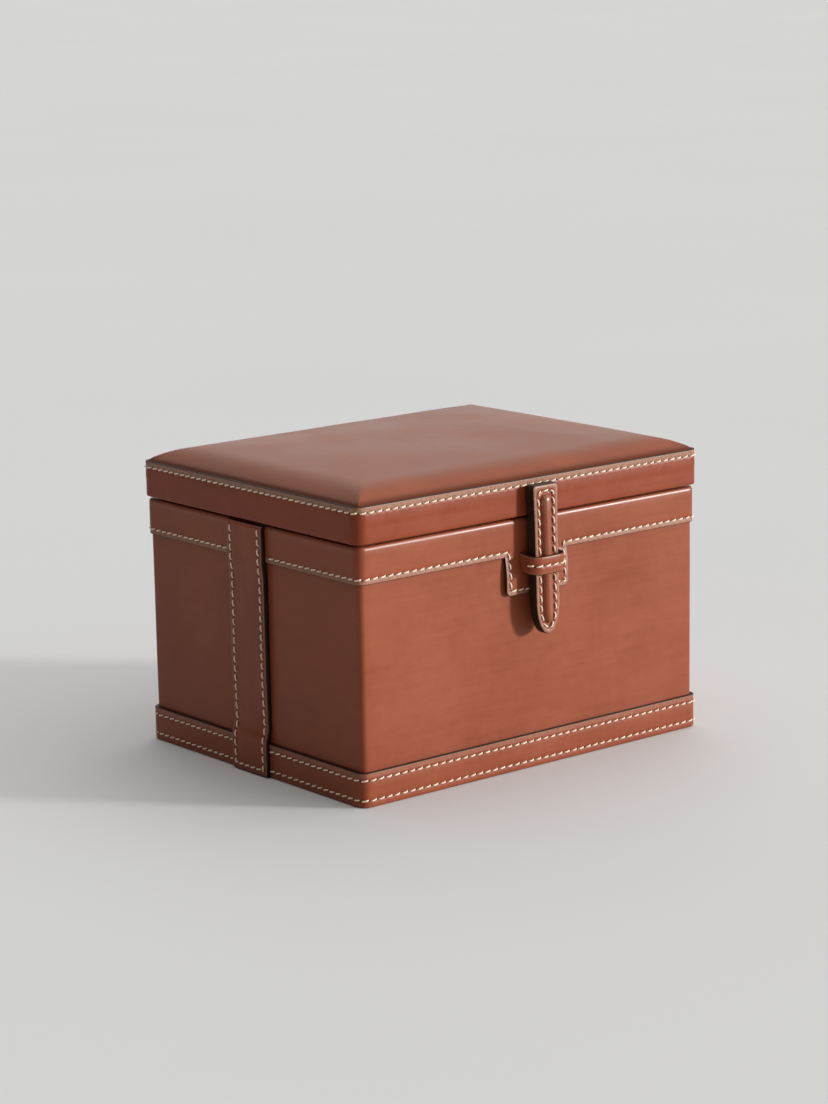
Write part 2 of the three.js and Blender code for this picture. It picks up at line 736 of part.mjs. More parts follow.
// The strap's outline from the front: square top, straight sides, rounded point.
function strapShape() {
  const shape = new THREE.Shape();
  const shoulder = (STRAP_TIP_START - STRAP_TIP) * 0.4;
  const nose = STRAP_HALF * 0.45;
  shape.moveTo(0, STRAP_TIP);
  shape.bezierCurveTo(nose, STRAP_TIP, STRAP_HALF, STRAP_TIP_START - shoulder,
    STRAP_HALF, STRAP_TIP_START);
  shape.lineTo(STRAP_HALF, STRAP_TOP - STRAP_TOP_CORNER);
  shape.quadraticCurveTo(STRAP_HALF, STRAP_TOP, STRAP_HALF - STRAP_TOP_CORNER, STRAP_TOP);
  shape.lineTo(STRAP_TOP_CORNER - STRAP_HALF, STRAP_TOP);
  shape.quadraticCurveTo(-STRAP_HALF, STRAP_TOP, -STRAP_HALF, STRAP_TOP - STRAP_TOP_CORNER);
  shape.lineTo(-STRAP_HALF, STRAP_TIP_START);
  shape.bezierCurveTo(-STRAP_HALF, STRAP_TIP_START - shoulder, -nose, STRAP_TIP, 0, STRAP_TIP);
  return shape;
}

function strapLayer(frontY, backY) {
  return toSolid(extrudeAlongY(strapShape(), frontY, backY, RIB_SEGMENTS));
}

// The raised rib is the front half of a flattened capsule standing on the plane y.
function rib(y, half, height) {
  const straight = RIB_END_HIGH - RIB_END_LOW - 2 * half;
  const capsule = new THREE.CapsuleGeometry(half, straight, RIB_SEGMENTS / 2, 2 * RIB_SEGMENTS);
  capsule.rotateX(Math.PI / 2).scale(1, height / half, 1);
  capsule.translate(0, y, (RIB_END_HIGH + RIB_END_LOW) / 2);
  const behind = box(-STRAP_HALF, STRAP_HALF, y, y + 2 * STRAP_THICK, STRAP_TIP, STRAP_TOP);
  return cut(toSolid(capsule), [behind]);
}

const INNER_RIB_HALF = RIB_HALF - 0.6;

// The strap bends about a line in front of it, level with the lid's lower edge, so the
// tongue below that line swings out clear of the fixed end above it.
function strapSpace(z0, z1) {
  const wide = 2 * STRAP_HALF;
  return toSolid(box(-wide, wide, STRAP_FRONT_Y - STRAP_THICK, STRAP_BACK_Y + STRAP_THICK, z0, z1));
}

function tongueSpace() {
  return strapSpace(STRAP_TIP - 1, STRAP_PIVOT_Z - STRAP_PIVOT_CLEARANCE);
}

function strapFace() {
  const hollow = rib(STRAP_FACE_BACK_Y, INNER_RIB_HALF + GLUE, STRAP_LAYER + GLUE / 2);
  const plate = strapLayer(STRAP_FRONT_Y, STRAP_FACE_BACK_Y);
  const raised = plate.add(rib(STRAP_FRONT_Y + GLUE, RIB_HALF, RIB_HEIGHT + GLUE));
  const solid = raised.subtract(hollow).intersect(tongueSpace());
  return part('latch_strap_face', toGeometry(solid), tanLeather());
}

function strapCore() {
  const frontY = STRAP_FACE_BACK_Y + GLUE;
  const plate = strapLayer(frontY, frontY + STRAP_CORE);
  const ribSolid = rib(frontY + GLUE, INNER_RIB_HALF, STRAP_LAYER);
  const solid = plate.add(ribSolid).intersect(tongueSpace());
  return part('latch_strap_core', toGeometry(solid), tanLeather());
}

function strapBacking() {
  const solid = strapLayer(STRAP_BACK_Y - STRAP_LAYER, STRAP_BACK_Y).intersect(tongueSpace());
  return part('latch_strap_backing', toGeometry(solid), tanLeather());
}

// The upper end of the strap is sewn to the lid's front.
function strapRoot() {
  const whole = strapLayer(STRAP_FRONT_Y, STRAP_BACK_Y);
  const raised = whole.add(rib(STRAP_FRONT_Y + GLUE, RIB_HALF, RIB_HEIGHT + GLUE));
  const space = strapSpace(STRAP_PIVOT_Z + STRAP_PIVOT_CLEARANCE, STRAP_TOP + 1);
  return part('latch_strap_root', toGeometry(raised.intersect(space)), tanLeather());
}

// ---- Tray ----

function trayBase() {
  const geometry = box(-TRAY_HALF_X, TRAY_HALF_X, -TRAY_HALF_Y, TRAY_HALF_Y,
    TRAY_LOW, TRAY_LOW + TRAY_BASE);
  return part('tray_base', geometry, board());
}

function trayWalls() {
  const heights = [TRAY_FLOOR, TRAY_TOP];
  const long = () => box(-TRAY_HALF_X, TRAY_HALF_X, TRAY_HALF_Y - TRAY_WALL, TRAY_HALF_Y, ...heights);
  const short = () => box(TRAY_HALF_X - TRAY_WALL, TRAY_HALF_X, -TRAY_INSIDE_Y, TRAY_INSIDE_Y,
    ...heights);
  return [
    part('tray_back_wall', long(), suede()),
    part('tray_front_wall', long().rotateZ(Math.PI), suede()),
    part('tray_right_wall', short(), suede()),
    part('tray_left_wall', short().rotateZ(Math.PI), suede()),
  ];
}

function trayDividers() {
  const half = DIVIDER / 2;
  const end = TRAY_INSIDE_X - PULL_TAB_THICK - GLUE;
  const longDivider = box(-end, end, -half, half, TRAY_FLOOR, DIVIDER_TOP);
  const cross = (x) => box(x - half, x + half, -TRAY_INSIDE_Y, -half - GLUE, TRAY_FLOOR, DIVIDER_TOP);
  return [
    part('tray_long_divider', longDivider, suede()),
    part('tray_cross_divider_left', cross(-CROSS_DIVIDER_X), suede()),
    part('tray_cross_divider_right', cross(CROSS_DIVIDER_X), suede()),
  ];
}

// Padded bars with round tops stand side by side; rings are held between them.
function ringRolls() {
  const depth = TRAY_INSIDE_Y - DIVIDER / 2 - GLUE;
  const pitch = depth / RING_ROLLS;
  const half = (pitch - RING_ROLL_GAP) / 2;
  const end = CROSS_DIVIDER_X - DIVIDER / 2 - RING_ROLL_GAP;
  const rolls = [];
  for (let i = 0; i < RING_ROLLS; i++) {
    const y = -TRAY_INSIDE_Y + pitch * (i + 0.5);
    const low = TRAY_FLOOR + GLUE;
    const shape = roundedRectangle(y - half, y + half, low, low + RING_ROLL_HEIGHT, [1, half, half, 1]);
    rolls.push(part(`ring_roll_${i + 1}`, extrudeAlongX(shape, -end, end, 4), foam()));
  }
  return rolls;
}

// A leather tab stands against each end wall, to lift the tray by.
function pullTab(name, side) {
  const half = PULL_TAB_WIDTH / 2;
  const corner = half - 1;
  const shape = roundedRectangle(-half, half, TRAY_FLOOR, PULL_TAB_TOP, [0, corner, corner, 0]);
  const geometry = extrudeAlongX(shape, TRAY_INSIDE_X - PULL_TAB_THICK, TRAY_INSIDE_X);
  return part(name, geometry.rotateZ(side > 0 ? 0 : Math.PI), tanLeather());
}

// ---- Assembly ----

function group(name, parts) {
  const body = new THREE.Group();
  body.name = name;
  body.add(...parts);
  return body;
}

const caseParts = [
  bottomBoard(),
  ...caseWalls(),
  bodyLeather(),
  baseCover(),
  baseBand(),
  collarBand(),
  sideStrap('side_strap_left', -1),
  sideStrap('side_strap_right', 1),
  keeperLoop(),
  ...caseLinings(),
  trayRest('tray_rest_left', -1),
  trayRest('tray_rest_right', 1),
  hingeLeaf('hinge_left_lower_leaf', -HINGE_X, false),
  hingeLeaf('hinge_right_lower_leaf', HINGE_X, false),
  hingePin('hinge_left_pin', -HINGE_X),
  hingePin('hinge_right_pin', HINGE_X),
  ...hingeScrews('left', 'lower', -HINGE_X),
  ...hingeScrews('right', 'lower', HINGE_X),
];

const lidParts = [
  ...lidWalls(),
  lidTopBoard(),
  lidBand(),
  lidTopLeather(),
  lidPad(),
  ...lidLinings(),
  hingeLeaf('hinge_left_upper_leaf', -HINGE_X, true),
  hingeLeaf('hinge_right_upper_leaf', HINGE_X, true),
  ...hingeScrews('left', 'upper', -HINGE_X),
  ...hingeScrews('right', 'upper', HINGE_X),
  strapRoot(),
];

const latchStrapParts = [strapFace(), strapCore(), strapBacking()];

const trayParts = [
  trayBase(),
  ...trayWalls(),
  ...trayDividers(),
  ...ringRolls(),
  pullTab('pull_tab_left', -1),
  pullTab('pull_tab_right', 1),
];

const jewelleryCase = group('jewellery_case', [
  group('case', caseParts),
  group('lid', lidParts),
  group('latch_strap', latchStrapParts),
  group('tray', trayParts),
]);

export default jewelleryCase;
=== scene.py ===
# Looks of the leather jewellery case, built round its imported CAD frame. Metres throughout.
import math
from contextlib import contextmanager

import bmesh
import bpy
import numpy as np
from mathutils import Matrix, Vector


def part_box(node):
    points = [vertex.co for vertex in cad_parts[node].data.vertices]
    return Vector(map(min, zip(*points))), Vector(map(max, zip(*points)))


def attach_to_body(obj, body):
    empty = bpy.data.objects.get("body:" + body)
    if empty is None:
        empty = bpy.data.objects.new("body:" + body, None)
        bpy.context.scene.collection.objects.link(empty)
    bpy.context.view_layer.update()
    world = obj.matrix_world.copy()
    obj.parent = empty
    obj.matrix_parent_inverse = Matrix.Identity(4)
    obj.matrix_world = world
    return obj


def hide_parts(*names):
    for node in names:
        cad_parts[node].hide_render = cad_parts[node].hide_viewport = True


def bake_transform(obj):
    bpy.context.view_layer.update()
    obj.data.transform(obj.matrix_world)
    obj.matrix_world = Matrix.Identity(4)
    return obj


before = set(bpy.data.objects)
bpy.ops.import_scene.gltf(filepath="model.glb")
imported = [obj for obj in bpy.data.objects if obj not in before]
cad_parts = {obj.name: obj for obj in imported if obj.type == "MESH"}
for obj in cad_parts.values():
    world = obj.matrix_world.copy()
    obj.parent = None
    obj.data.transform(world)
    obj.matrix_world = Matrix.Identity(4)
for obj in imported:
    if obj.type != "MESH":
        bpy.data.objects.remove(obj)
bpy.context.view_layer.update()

MM = 0.001

# ---- Sizes read from the frame ----

PANEL_LOW, PANEL_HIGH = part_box("body_leather")
BASE_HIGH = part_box("base_band")[1]
COLLAR_LOW, COLLAR_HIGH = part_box("collar_band")
LID_LOW, LID_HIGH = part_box("lid_band")
TOP_LOW, TOP_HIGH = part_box("lid_top_leather")
KEEPER_LOW, KEEPER_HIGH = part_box("keeper_loop")
FACE_LOW, FACE_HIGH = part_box("latch_strap_face")
ROOT_LOW, ROOT_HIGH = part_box("latch_strap_root")
SIDE_LOW, SIDE_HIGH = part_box("side_strap_right")

HALF_X = PANEL_HIGH.x
HALF_Y = PANEL_HIGH.y
PANEL_CORNER = 3.5 * MM
INSIDE_CORNER = 0.8 * MM
GLUE = 0.1 * MM
LEATHER = 1.4 * MM
LINING = 1.1 * MM

BASE_OUT = BASE_HIGH.x - HALF_X
COLLAR_OUT = COLLAR_HIGH.x - HALF_X
LID_OUT = LID_HIGH.x - HALF_X

# ---- Sizes of the leather work ----

COLLAR_HEIGHT = 19.8 * MM
COLLAR_EDGE_Z = COLLAR_HIGH.z - COLLAR_HEIGHT
TAB_HALF = 22 * MM
TAB_LOW_Z = COLLAR_LOW.z
TAB_CORNER = 3 * MM

STITCH_PITCH = 5.15 * MM
STITCH_SHARE = 0.8
THREAD_RADIUS = 0.45 * MM
THREAD_LIFT = 0.36 * MM
THREAD_SLANT = -0.34 * MM
HOLE_LONG = 0.62 * MM
HOLE_WIDE = 0.24 * MM
GROOVE_DEPTH = 0.16 * MM
PUCKER_DEPTH = 0.14 * MM
RIDGE_HEIGHT = 0.14 * MM
EDGE_ROUND = 0.35 * MM

COLLAR_STITCH_Z = COLLAR_EDGE_Z + 2.9 * MM
TAB_STITCH_INSET = 2.8 * MM
BASE_STITCH_INSET = 4.0 * MM
LID_STITCH_Z = LID_HIGH.z - 3.3 * MM

LATCH_X = 0.9 * MM
TAB_LIFT = 1.4 * MM
STRAP_HALF = FACE_HIGH.x
STRAP_FRONT_Y = ROOT_LOW.y + 1.7 * MM
STRAP_BACK_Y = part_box("latch_strap_backing")[1].y
STRAP_LEAN_TOP = 1.0 * MM
STRAP_LEAN_TIP = 3.0 * MM
STRAP_STITCH_INSET = 3.3 * MM
STRAP_PADDING = 0.7 * MM
RIB_FOOT = 5.4 * MM
RIB_HEIGHT = 1.9 * MM
SIDE_SEAM_INSET = 3.3 * MM
CROWN_EDGE_Z = LID_HIGH.z - 0.9 * MM

FILLING_PRESSURE = 3.0
FILLING_FRAMES = 20

rng = np.random.default_rng(7)


# ---- Node materials ----

def feed(tree, socket, value):
    """Gives a socket a number, a colour or another node's output."""
    if isinstance(value, (int, float)):
        socket.default_value = value
    elif isinstance(value, tuple):
        socket.default_value = (*value, 1.0)
    else:
        tree.links.new(value, socket)


class Nodes:
    """A small helper to add nodes to one node tree."""

    def __init__(self, tree):
        self.tree = tree

    def node(self, kind, inputs=None, **settings):
        """A new node, with its settings and then its inputs filled in."""
        made = self.tree.nodes.new(kind)
        for key, value in settings.items():
            setattr(made, key, value)
        for key, value in (inputs or {}).items():
            feed(self.tree, made.inputs[key], value)
        return made

    def math(self, operation, a, b):
        return self.node("ShaderNodeMath", {0: a, 1: b}, operation=operation).outputs["Value"]

    def total(self, *parts):
        """The weighted sum of (value, share) pairs."""
        terms = [self.math("MULTIPLY", value, share) for value, share in parts]
        whole = terms[0]
        for term in terms[1:]:
            whole = self.math("ADD", whole, term)
        return whole


class Shader(Nodes):
    """A small helper to build one procedural material."""

    def __init__(self, name):
        self.material = bpy.data.materials.new(name)
        self.material.use_nodes = True
        super().__init__(self.material.node_tree)
        self.bsdf = self.tree.nodes["Principled BSDF"]
        self.place = self.node("ShaderNodeTexCoord").outputs["Object"]

    def stretched(self, x, y, z):
        """The object's own coordinates, stretched along each axis."""
        mapping = self.node("ShaderNodeMapping", {"Vector": self.place})
        mapping.inputs["Scale"].default_value = (x, y, z)
        return mapping.outputs["Vector"]

    def noise(self, scale, detail=3.0, roughness=0.55, place=None):
        values = {"Scale": scale, "Detail": detail, "Roughness": roughness, "Vector": place or self.place}
        return self.node("ShaderNodeTexNoise", values).outputs["Fac"]

    def cells(self, scale):
        values = {"Scale": scale, "Vector": self.place}
        return self.node("ShaderNodeTexVoronoi", values, feature="DISTANCE_TO_EDGE").outputs["Distance"]

    def remap(self, value, low, high, to_low=0.0, to_high=1.0):
        values = {"Value": value, "From Min": low, "From Max": high, "To Min": to_low, "To Max": to_high}
        return self.node("ShaderNodeMapRange", values).outputs["Result"]

    def mix(self, share, a, b):
        made = self.node("ShaderNodeMix", data_type="RGBA")
        sockets = [s for s in made.inputs if s.enabled]
        for socket, value in zip(sockets, (share, a, b)):
            feed(self.tree, socket, value)
        return [s for s in made.outputs if s.enabled][0]

    def attribute(self, name):
        return self.node("ShaderNodeAttribute", attribute_name=name).outputs["Fac"]

    def bump(self, height, strength, distance, under=None):
        values = {"Height": height, "Strength": strength, "Distance": distance}
        if under is not None:
            values["Normal"] = under
        return self.node("ShaderNodeBump", values).outputs["Normal"]

    def bevel(self, radius):
        return self.node("ShaderNodeBevel", {"Radius": radius}, samples=6).outputs["Normal"]

    def set(self, **values):
        """Fills in the surface's inputs and gives the material back."""
        for key, value in values.items():
            feed(self.tree, self.bsdf.inputs[key.replace("_", " ")], value)
        return self.material


# The lighter tan of worn margins, partly wear and partly painted sheen, and the factor for painted shade.
WORN_AND_SHEEN_TAN = (0.33, 0.195, 0.135)
PAINTED_SHADE_DARKENING = 0.42


def leather_material(name, dark, light, streak=(26, 26, 420), roughness=0.43, gloss=0.19):
    """Smooth vegetable-tanned leather: cloudy colour, faint streaks, fine pores, edges painted lighter for
    wear and sheen, and painted shade.
    """
    s = Shader(name)
    clouds = s.noise(17, 4, 0.6)
    fine = s.noise(150, 4, 0.6)
    streaks = s.noise(1.0, 3, 0.6, s.stretched(*streak))
    tone = s.total((clouds, 0.5), (fine, 0.25), (streaks, 0.25))
    base = s.mix(s.remap(tone, 0.36, 0.64), dark, light)
    # Painted shade: where marked, the colour is darkened and the gloss lowered.
    painted_shade = s.attribute("painted_shade")
    base = s.mix(painted_shade, base, tuple(PAINTED_SHADE_DARKENING * c for c in dark))
    # Margins painted lighter and greyer: partly wear, partly painted sheen.
    scuffs = s.noise(1100, 3, 0.7)
    worn_and_sheen = s.math("MULTIPLY", s.attribute("wear_and_sheen"), s.remap(scuffs, 0.38, 0.60, 0.35, 1.15))
    base = s.mix(worn_and_sheen, base, WORN_AND_SHEEN_TAN)
    pores = s.cells(1150)
    grain = s.noise(2600, 3, 0.7)
    wrinkle = s.noise(420, 4, 0.65)
    height = s.total((s.remap(pores, 0.0, 0.12), 0.35), (grain, 0.4), (wrinkle, 0.5))
    normal = s.bump(height, 0.16, 0.12 * MM)
    shine = s.attribute("shine")
    rough = s.remap(tone, 0.35, 0.65, roughness - 0.05, roughness + 0.06)
    rough = s.math("ADD", rough, s.math("MULTIPLY", worn_and_sheen, 0.12))
    glossy = s.math("ADD", gloss, s.math("MULTIPLY", shine, 0.17))
    glossy = s.math("SUBTRACT", glossy, s.math("MULTIPLY", painted_shade, 0.6 * gloss))
    return s.set(Base_Color=base, Roughness=rough, Normal=normal, Specular_IOR_Level=glossy)


def painted_edge_material():
    """Burnished cut edge, painted near black, with the brushed paint's small ripples."""
    s = Shader("edge_paint")
    ripple = s.noise(700, 3)
    patch = s.noise(60, 3)
    colour = s.mix(s.remap(patch, 0.35, 0.65), (0.010, 0.006, 0.006), (0.030, 0.014, 0.010))
    normal = s.bump(ripple, 0.25, 0.1 * MM)
    rough = s.remap(patch, 0.3, 0.7, 0.42, 0.6)
    return s.set(Base_Color=colour, Roughness=rough, Normal=normal, Specular_IOR_Level=0.25)


def thread_material():
    """Waxed cream thread, its plies and stray fibres as fine bumps."""
    s = Shader("cream_thread")
    tone = s.noise(330, 3)
    colour = s.mix(s.remap(tone, 0.3, 0.7), (0.76, 0.55, 0.39), (0.94, 0.76, 0.61))
    fibres = s.noise(5200, 2, 0.6)
    normal = s.bump(fibres, 0.5, 0.06 * MM)
    return s.set(Base_Color=colour, Roughness=0.55, Normal=normal, Sheen_Weight=0.15)


def hole_shade_material():
    """The shaded mouth of an awl hole."""
    s = Shader("stitch_hole_shade")
    tone = s.noise(900, 2)
    colour = s.mix(tone, (0.03, 0.011, 0.006), (0.07, 0.026, 0.014))
    return s.set(Base_Color=colour, Roughness=0.8)


def suede_material(name, dark, light):
    """Napped suede: brushed patches, short fibres and a soft sheen."""
    s = Shader(name)
    patch = s.noise(26, 4, 0.65)
    brushed = s.noise(1.0, 3, 0.6, s.stretched(90, 90, 260))
    fibres = s.noise(1900, 4, 0.75)
    tone = s.total((patch, 0.5), (brushed, 0.3), (fibres, 0.2))
    colour = s.mix(s.remap(tone, 0.38, 0.62), dark, light)
    normal = s.bump(fibres, 0.55, 0.25 * MM, s.bevel(0.5 * MM))
    s.set(Sheen_Weight=0.45, Sheen_Roughness=0.5)
    return s.set(Base_Color=colour, Roughness=0.92, Normal=normal)


def brass_material():
    """Polished brass with drawn scratches and a slight tarnish."""
    s = Shader("polished_brass")
    scratches = s.noise(1.0, 3, 0.6, s.stretched(120, 2600, 2600))
    tarnish = s.noise(260, 4, 0.6)
    colour = s.mix(s.remap(tarnish, 0.45, 0.85), (0.83, 0.62, 0.30), (0.66, 0.46, 0.20))
    rough = s.math("ADD", s.remap(scratches, 0.3, 0.7, 0.20, 0.30), s.remap(tarnish, 0.5, 0.8, 0.0, 0.12))
    normal = s.bump(scratches, 0.08, 0.04 * MM, s.bevel(0.12 * MM))
    return s.set(Base_Color=colour, Metallic=1.0, Roughness=rough, Normal=normal)


def board_material():
    """Pressed fibreboard, hidden under the leather and lining."""
    s = Shader("fibreboard")
    fibres = s.noise(900, 5, 0.75)
    patch = s.noise(50, 3)
    tone = s.total((fibres, 0.6), (patch, 0.4))
    colour = s.mix(s.remap(tone, 0.35, 0.65), (0.33, 0.22, 0.12), (0.52, 0.38, 0.23))
    return s.set(Base_Color=colour, Roughness=0.9, Normal=s.bump(fibres, 0.4, 0.15 * MM))


def floor_material():
    """A plain pale worktop, hardly glossy."""
    s = Shader("pale_floor")
    cloud = s.noise(1.6, 3)
    colour = s.mix(s.remap(cloud, 0.3, 0.7), (0.695, 0.706, 0.726), (0.707, 0.718, 0.738))
    return s.set(Base_Color=colour, Roughness=0.7, Specular_IOR_Level=0.1)


TAN = leather_material("tan_leather", (0.220, 0.050, 0.019), (0.280, 0.069, 0.028), roughness=0.33)
LID_TAN = leather_material("lid_leather", (0.195, 0.035, 0.010), (0.256, 0.049, 0.016), roughness=0.33)
PAD = leather_material("pad_leather", (0.212, 0.047, 0.016), (0.284, 0.069, 0.026),
                       streak=(60, 14, 60), roughness=0.36, gloss=0.21)
STRAP_TAN = leather_material("strap_leather", (0.21, 0.050, 0.020), (0.28, 0.073, 0.032),
                             streak=(300, 300, 40), roughness=0.33)
EDGE = painted_edge_material()
THREAD = thread_material()
HOLE_SHADE = hole_shade_material()
SUEDE = suede_material("sand_suede", (0.30, 0.19, 0.115), (0.44, 0.30, 0.19))
ROLL = suede_material("roll_suede", (0.34, 0.22, 0.135), (0.50, 0.345, 0.225))
UNDERSIDE = suede_material("brown_suede", (0.08, 0.042, 0.024), (0.14, 0.075, 0.045))
BRASS = brass_material()
BOARD = board_material()


# ---- Mesh helpers ----

def place_object(name, data):
    """Puts new data into the scene as an object."""
    made = bpy.data.objects.new(name, data)
    bpy.context.scene.collection.objects.link(made)
    return made


def read_points(mesh):
    co = np.zeros(len(mesh.vertices) * 3)
    mesh.vertices.foreach_get("co", co)
    return co.reshape(-1, 3)


def write_points(mesh, co):
    mesh.vertices.foreach_set("co", co.ravel())
    mesh.update()


def paint(mesh, attributes):
    """Stores a value per vertex under each name, for the leather to read."""
    for key, values in attributes.items():
        layer = mesh.attributes.new(key, "FLOAT", "POINT")
        layer.data.foreach_set("value", np.asarray(values, np.float32))
    mesh.update()


@contextmanager
def edited(made):
    """The object's mesh as a bmesh, written back afterwards."""
    work = bmesh.new()
    work.from_mesh(made.data)
    yield work
    work.to_mesh(made.data)
    work.free()
    made.data.update()


def make_mesh(name, vertices, faces, materials, face_materials=None, attributes=None):
    mesh = bpy.data.meshes.new(name)
    mesh.from_pydata([tuple(v) for v in vertices], [], [tuple(f) for f in faces])
    for material in materials:
        mesh.materials.append(material)
    if face_materials is not None:
        mesh.polygons.foreach_set("material_index", np.asarray(face_materials, np.int32))
    mesh.polygons.foreach_set("use_smooth", np.full(len(mesh.polygons), True))
    paint(mesh, attributes or {})
    return place_object(name, mesh)


def filled_points(made, held):
    """Where a short cloth simulation with air pressure moves the vertices that are not held."""
    group = made.vertex_groups.new(name="held")
    group.add([int(i) for i in held], 1.0, "REPLACE")
    cloth = made.modifiers.new("filling", "CLOTH")
    settings = cloth.settings
    settings.vertex_group_mass = "held"
    settings.effector_weights.gravity = 0
    settings.use_pressure = True
    settings.uniform_pressure_force = FILLING_PRESSURE
    settings.quality = 6
    cloth.point_cache.frame_start = 1
    cloth.point_cache.frame_end = FILLING_FRAMES
    scene = bpy.context.scene
    for number in range(1, FILLING_FRAMES + 1):
        scene.frame_set(number)
    filled = made.evaluated_get(bpy.context.evaluated_depsgraph_get())
    after = read_points(filled.data)
    made.modifiers.remove(cloth)
    made.vertex_groups.remove(group)
    scene.frame_set(1)
    return after


def averaged(mesh, move, held, rounds):
    """Each vertex's move, averaged with its neighbours' again and again. Held vertices stay."""
    edges = np.array([e.vertices[:] for e in mesh.edges])
    for _ in range(rounds):
        total, count = move.copy(), np.ones((len(move), 1))
        for here, there in ((0, 1), (1, 0)):
            np.add.at(total, edges[:, here], move[edges[:, there]])
            np.add.at(count, edges[:, here], 1)
        move = total / count
        move[held] = 0
    return move


def inflate(made, held, cap, relax):
    """Pads a piece out by a cloth simulation, its movement kept within cap and smoothed."""
    before = read_points(made.data)
    move = filled_points(made, held) - before
    length = np.linalg.norm(move, axis=1, keepdims=True)
    move *= np.minimum(1, cap / np.maximum(length, 1e-9))
    write_points(made.data, before + averaged(made.data, move, held, relax))


def weld(made, distance=0.002 * MM):
    with edited(made) as work:
        bmesh.ops.remove_doubles(work, verts=work.verts, dist=distance)
        bmesh.ops.dissolve_degenerate(work, edges=work.edges, dist=distance)
        bmesh.ops.recalc_face_normals(work, faces=work.faces)


def at_height(xy, z):
    """Plan points lifted to one height."""
    return np.column_stack([xy, np.full(len(xy), z)])


def grid_faces(rows, columns, wrap_rows, wrap_columns):
    """Quads of a grid whose vertex (r, c) has the number r * columns + c."""
    r = np.arange(rows if wrap_rows else rows - 1)
    c = np.arange(columns if wrap_columns else columns - 1)
    rr, cc = np.meshgrid(r, c, indexing="ij")
    rn, cn = (rr + 1) % rows, (cc + 1) % columns
    quads = np.stack([rr * columns + cc, rr * columns + cn, rn * columns + cn, rn * columns + cc], -1)
    return quads.reshape(-1, 4)


def attach(made, body, slot, *nodes):
    """Fixes a piece to its body, in place of the CAD nodes that it shows. slot is not used."""
    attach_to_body(made, body)
    if nodes:
        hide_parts(*nodes)


def sew(name, paths, body, keep=None):
    """A seam's stitches, fixed to a body."""
    attach(stitch_row(name, paths, keep), body, "leather")


def ease(value, low, high):
    """0 below low, 1 above high, and a smooth step between."""
    t = np.clip((value - low) / (high - low), 0, 1)
    return t * t * (3 - 2 * t)


def smooth_noise(points, size, seed):
    """Gentle noise from -1 to 1 at each point: a few seeded waves of about that size."""
    waves = np.random.default_rng(seed)
    total = np.zeros(len(points))
    count = 9
    for _ in range(count):
        direction = waves.normal(size=3)
        direction /= np.linalg.norm(direction)
        length = size * waves.uniform(0.6, 1.6)
        total += np.sin(points @ direction * 2 * math.pi / length + waves.uniform(0, 2 * math.pi))
    return np.clip(total / math.sqrt(count) / 1.4, -1, 1)


# ---- The plan outline ----

def plan_stations(step, corner_steps=8, front_shares=None):
    """Stations round the plan: quarter, angle, and share of the way along the side after it."""
    rows = []
    for quarter in range(4):
        for k in range(corner_steps + 1):
            rows.append((quarter, (quarter + k / corner_steps) * math.pi / 2, 0.0))
        side = 2 * ((HALF_X if quarter % 2 == 0 else HALF_Y) - PANEL_CORNER)
        count = max(1, round(side / step))
        shares = [k / count for k in range(1, count)]
        if quarter == 2 and front_shares is not None:
            shares = front_shares
        rows += [(quarter, (quarter + 1) * math.pi / 2, share) for share in shares]
    return np.array(rows)


def ring_xy(stations, offset):
    """The plan's outline grown by offset, at each station."""
    radius = max(PANEL_CORNER + offset, INSIDE_CORNER)
    cx, cy = HALF_X + offset - radius, HALF_Y + offset - radius
    quarter, angle, share = stations.T
    q = quarter.astype(int)

    def arc_point(k):
        sx = np.where((k == 0) | (k == 3), 1, -1)
        sy = np.where(k < 2, 1, -1)
        return np.stack([sx * cx + radius * np.cos(angle), sy * cy + radius * np.sin(angle)], 1)

    here, there = arc_point(q), arc_point((q + 1) % 4)
    return here + (there - here) * share[:, None]


def ring_normals(stations):
    """The plan outline's outward direction at each station."""
    angle = stations[:, 1]
    return np.stack([np.cos(angle), np.sin(angle), np.zeros(len(angle))], 1)


# ---- Stitches ----

class Path:
    """A seam line on a surface: points, outward normals and the distance along it."""

    def __init__(self, points, normals, closed=False):
        points, normals = np.asarray(points, float), np.asarray(normals, float)
        if closed:
            points = np.vstack([points, points[:1]])
            normals = np.vstack([normals, normals[:1]])
        self.points, self.normals, self.closed = points, normals, closed
        self.along = np.concatenate([[0], np.cumsum(np.linalg.norm(np.diff(points, axis=0), axis=1))])
        self.length = self.along[-1]

    def at(self, distance):
        if self.closed:
            distance = np.mod(distance, self.length)
        point = np.stack([np.interp(distance, self.along, self.points[:, k]) for k in range(3)], -1)
        normal = np.stack([np.interp(distance, self.along, self.normals[:, k]) for k in range(3)], -1)
        normal /= np.linalg.norm(normal, axis=-1, keepdims=True)
        return point, normal

    def frame(self, distance):
        point, normal = self.at(distance)
        ahead, _ = self.at(distance + 0.2 * MM)
        behind, _ = self.at(distance - 0.2 * MM)
        tangent = ahead - behind
        tangent /= np.maximum(np.linalg.norm(tangent, axis=-1, keepdims=True), 1e-12)
        return point, normal, tangent, np.cross(normal, tangent)

    def fitted_pitch(self):
        return self.length / max(1, round(self.length / STITCH_PITCH))


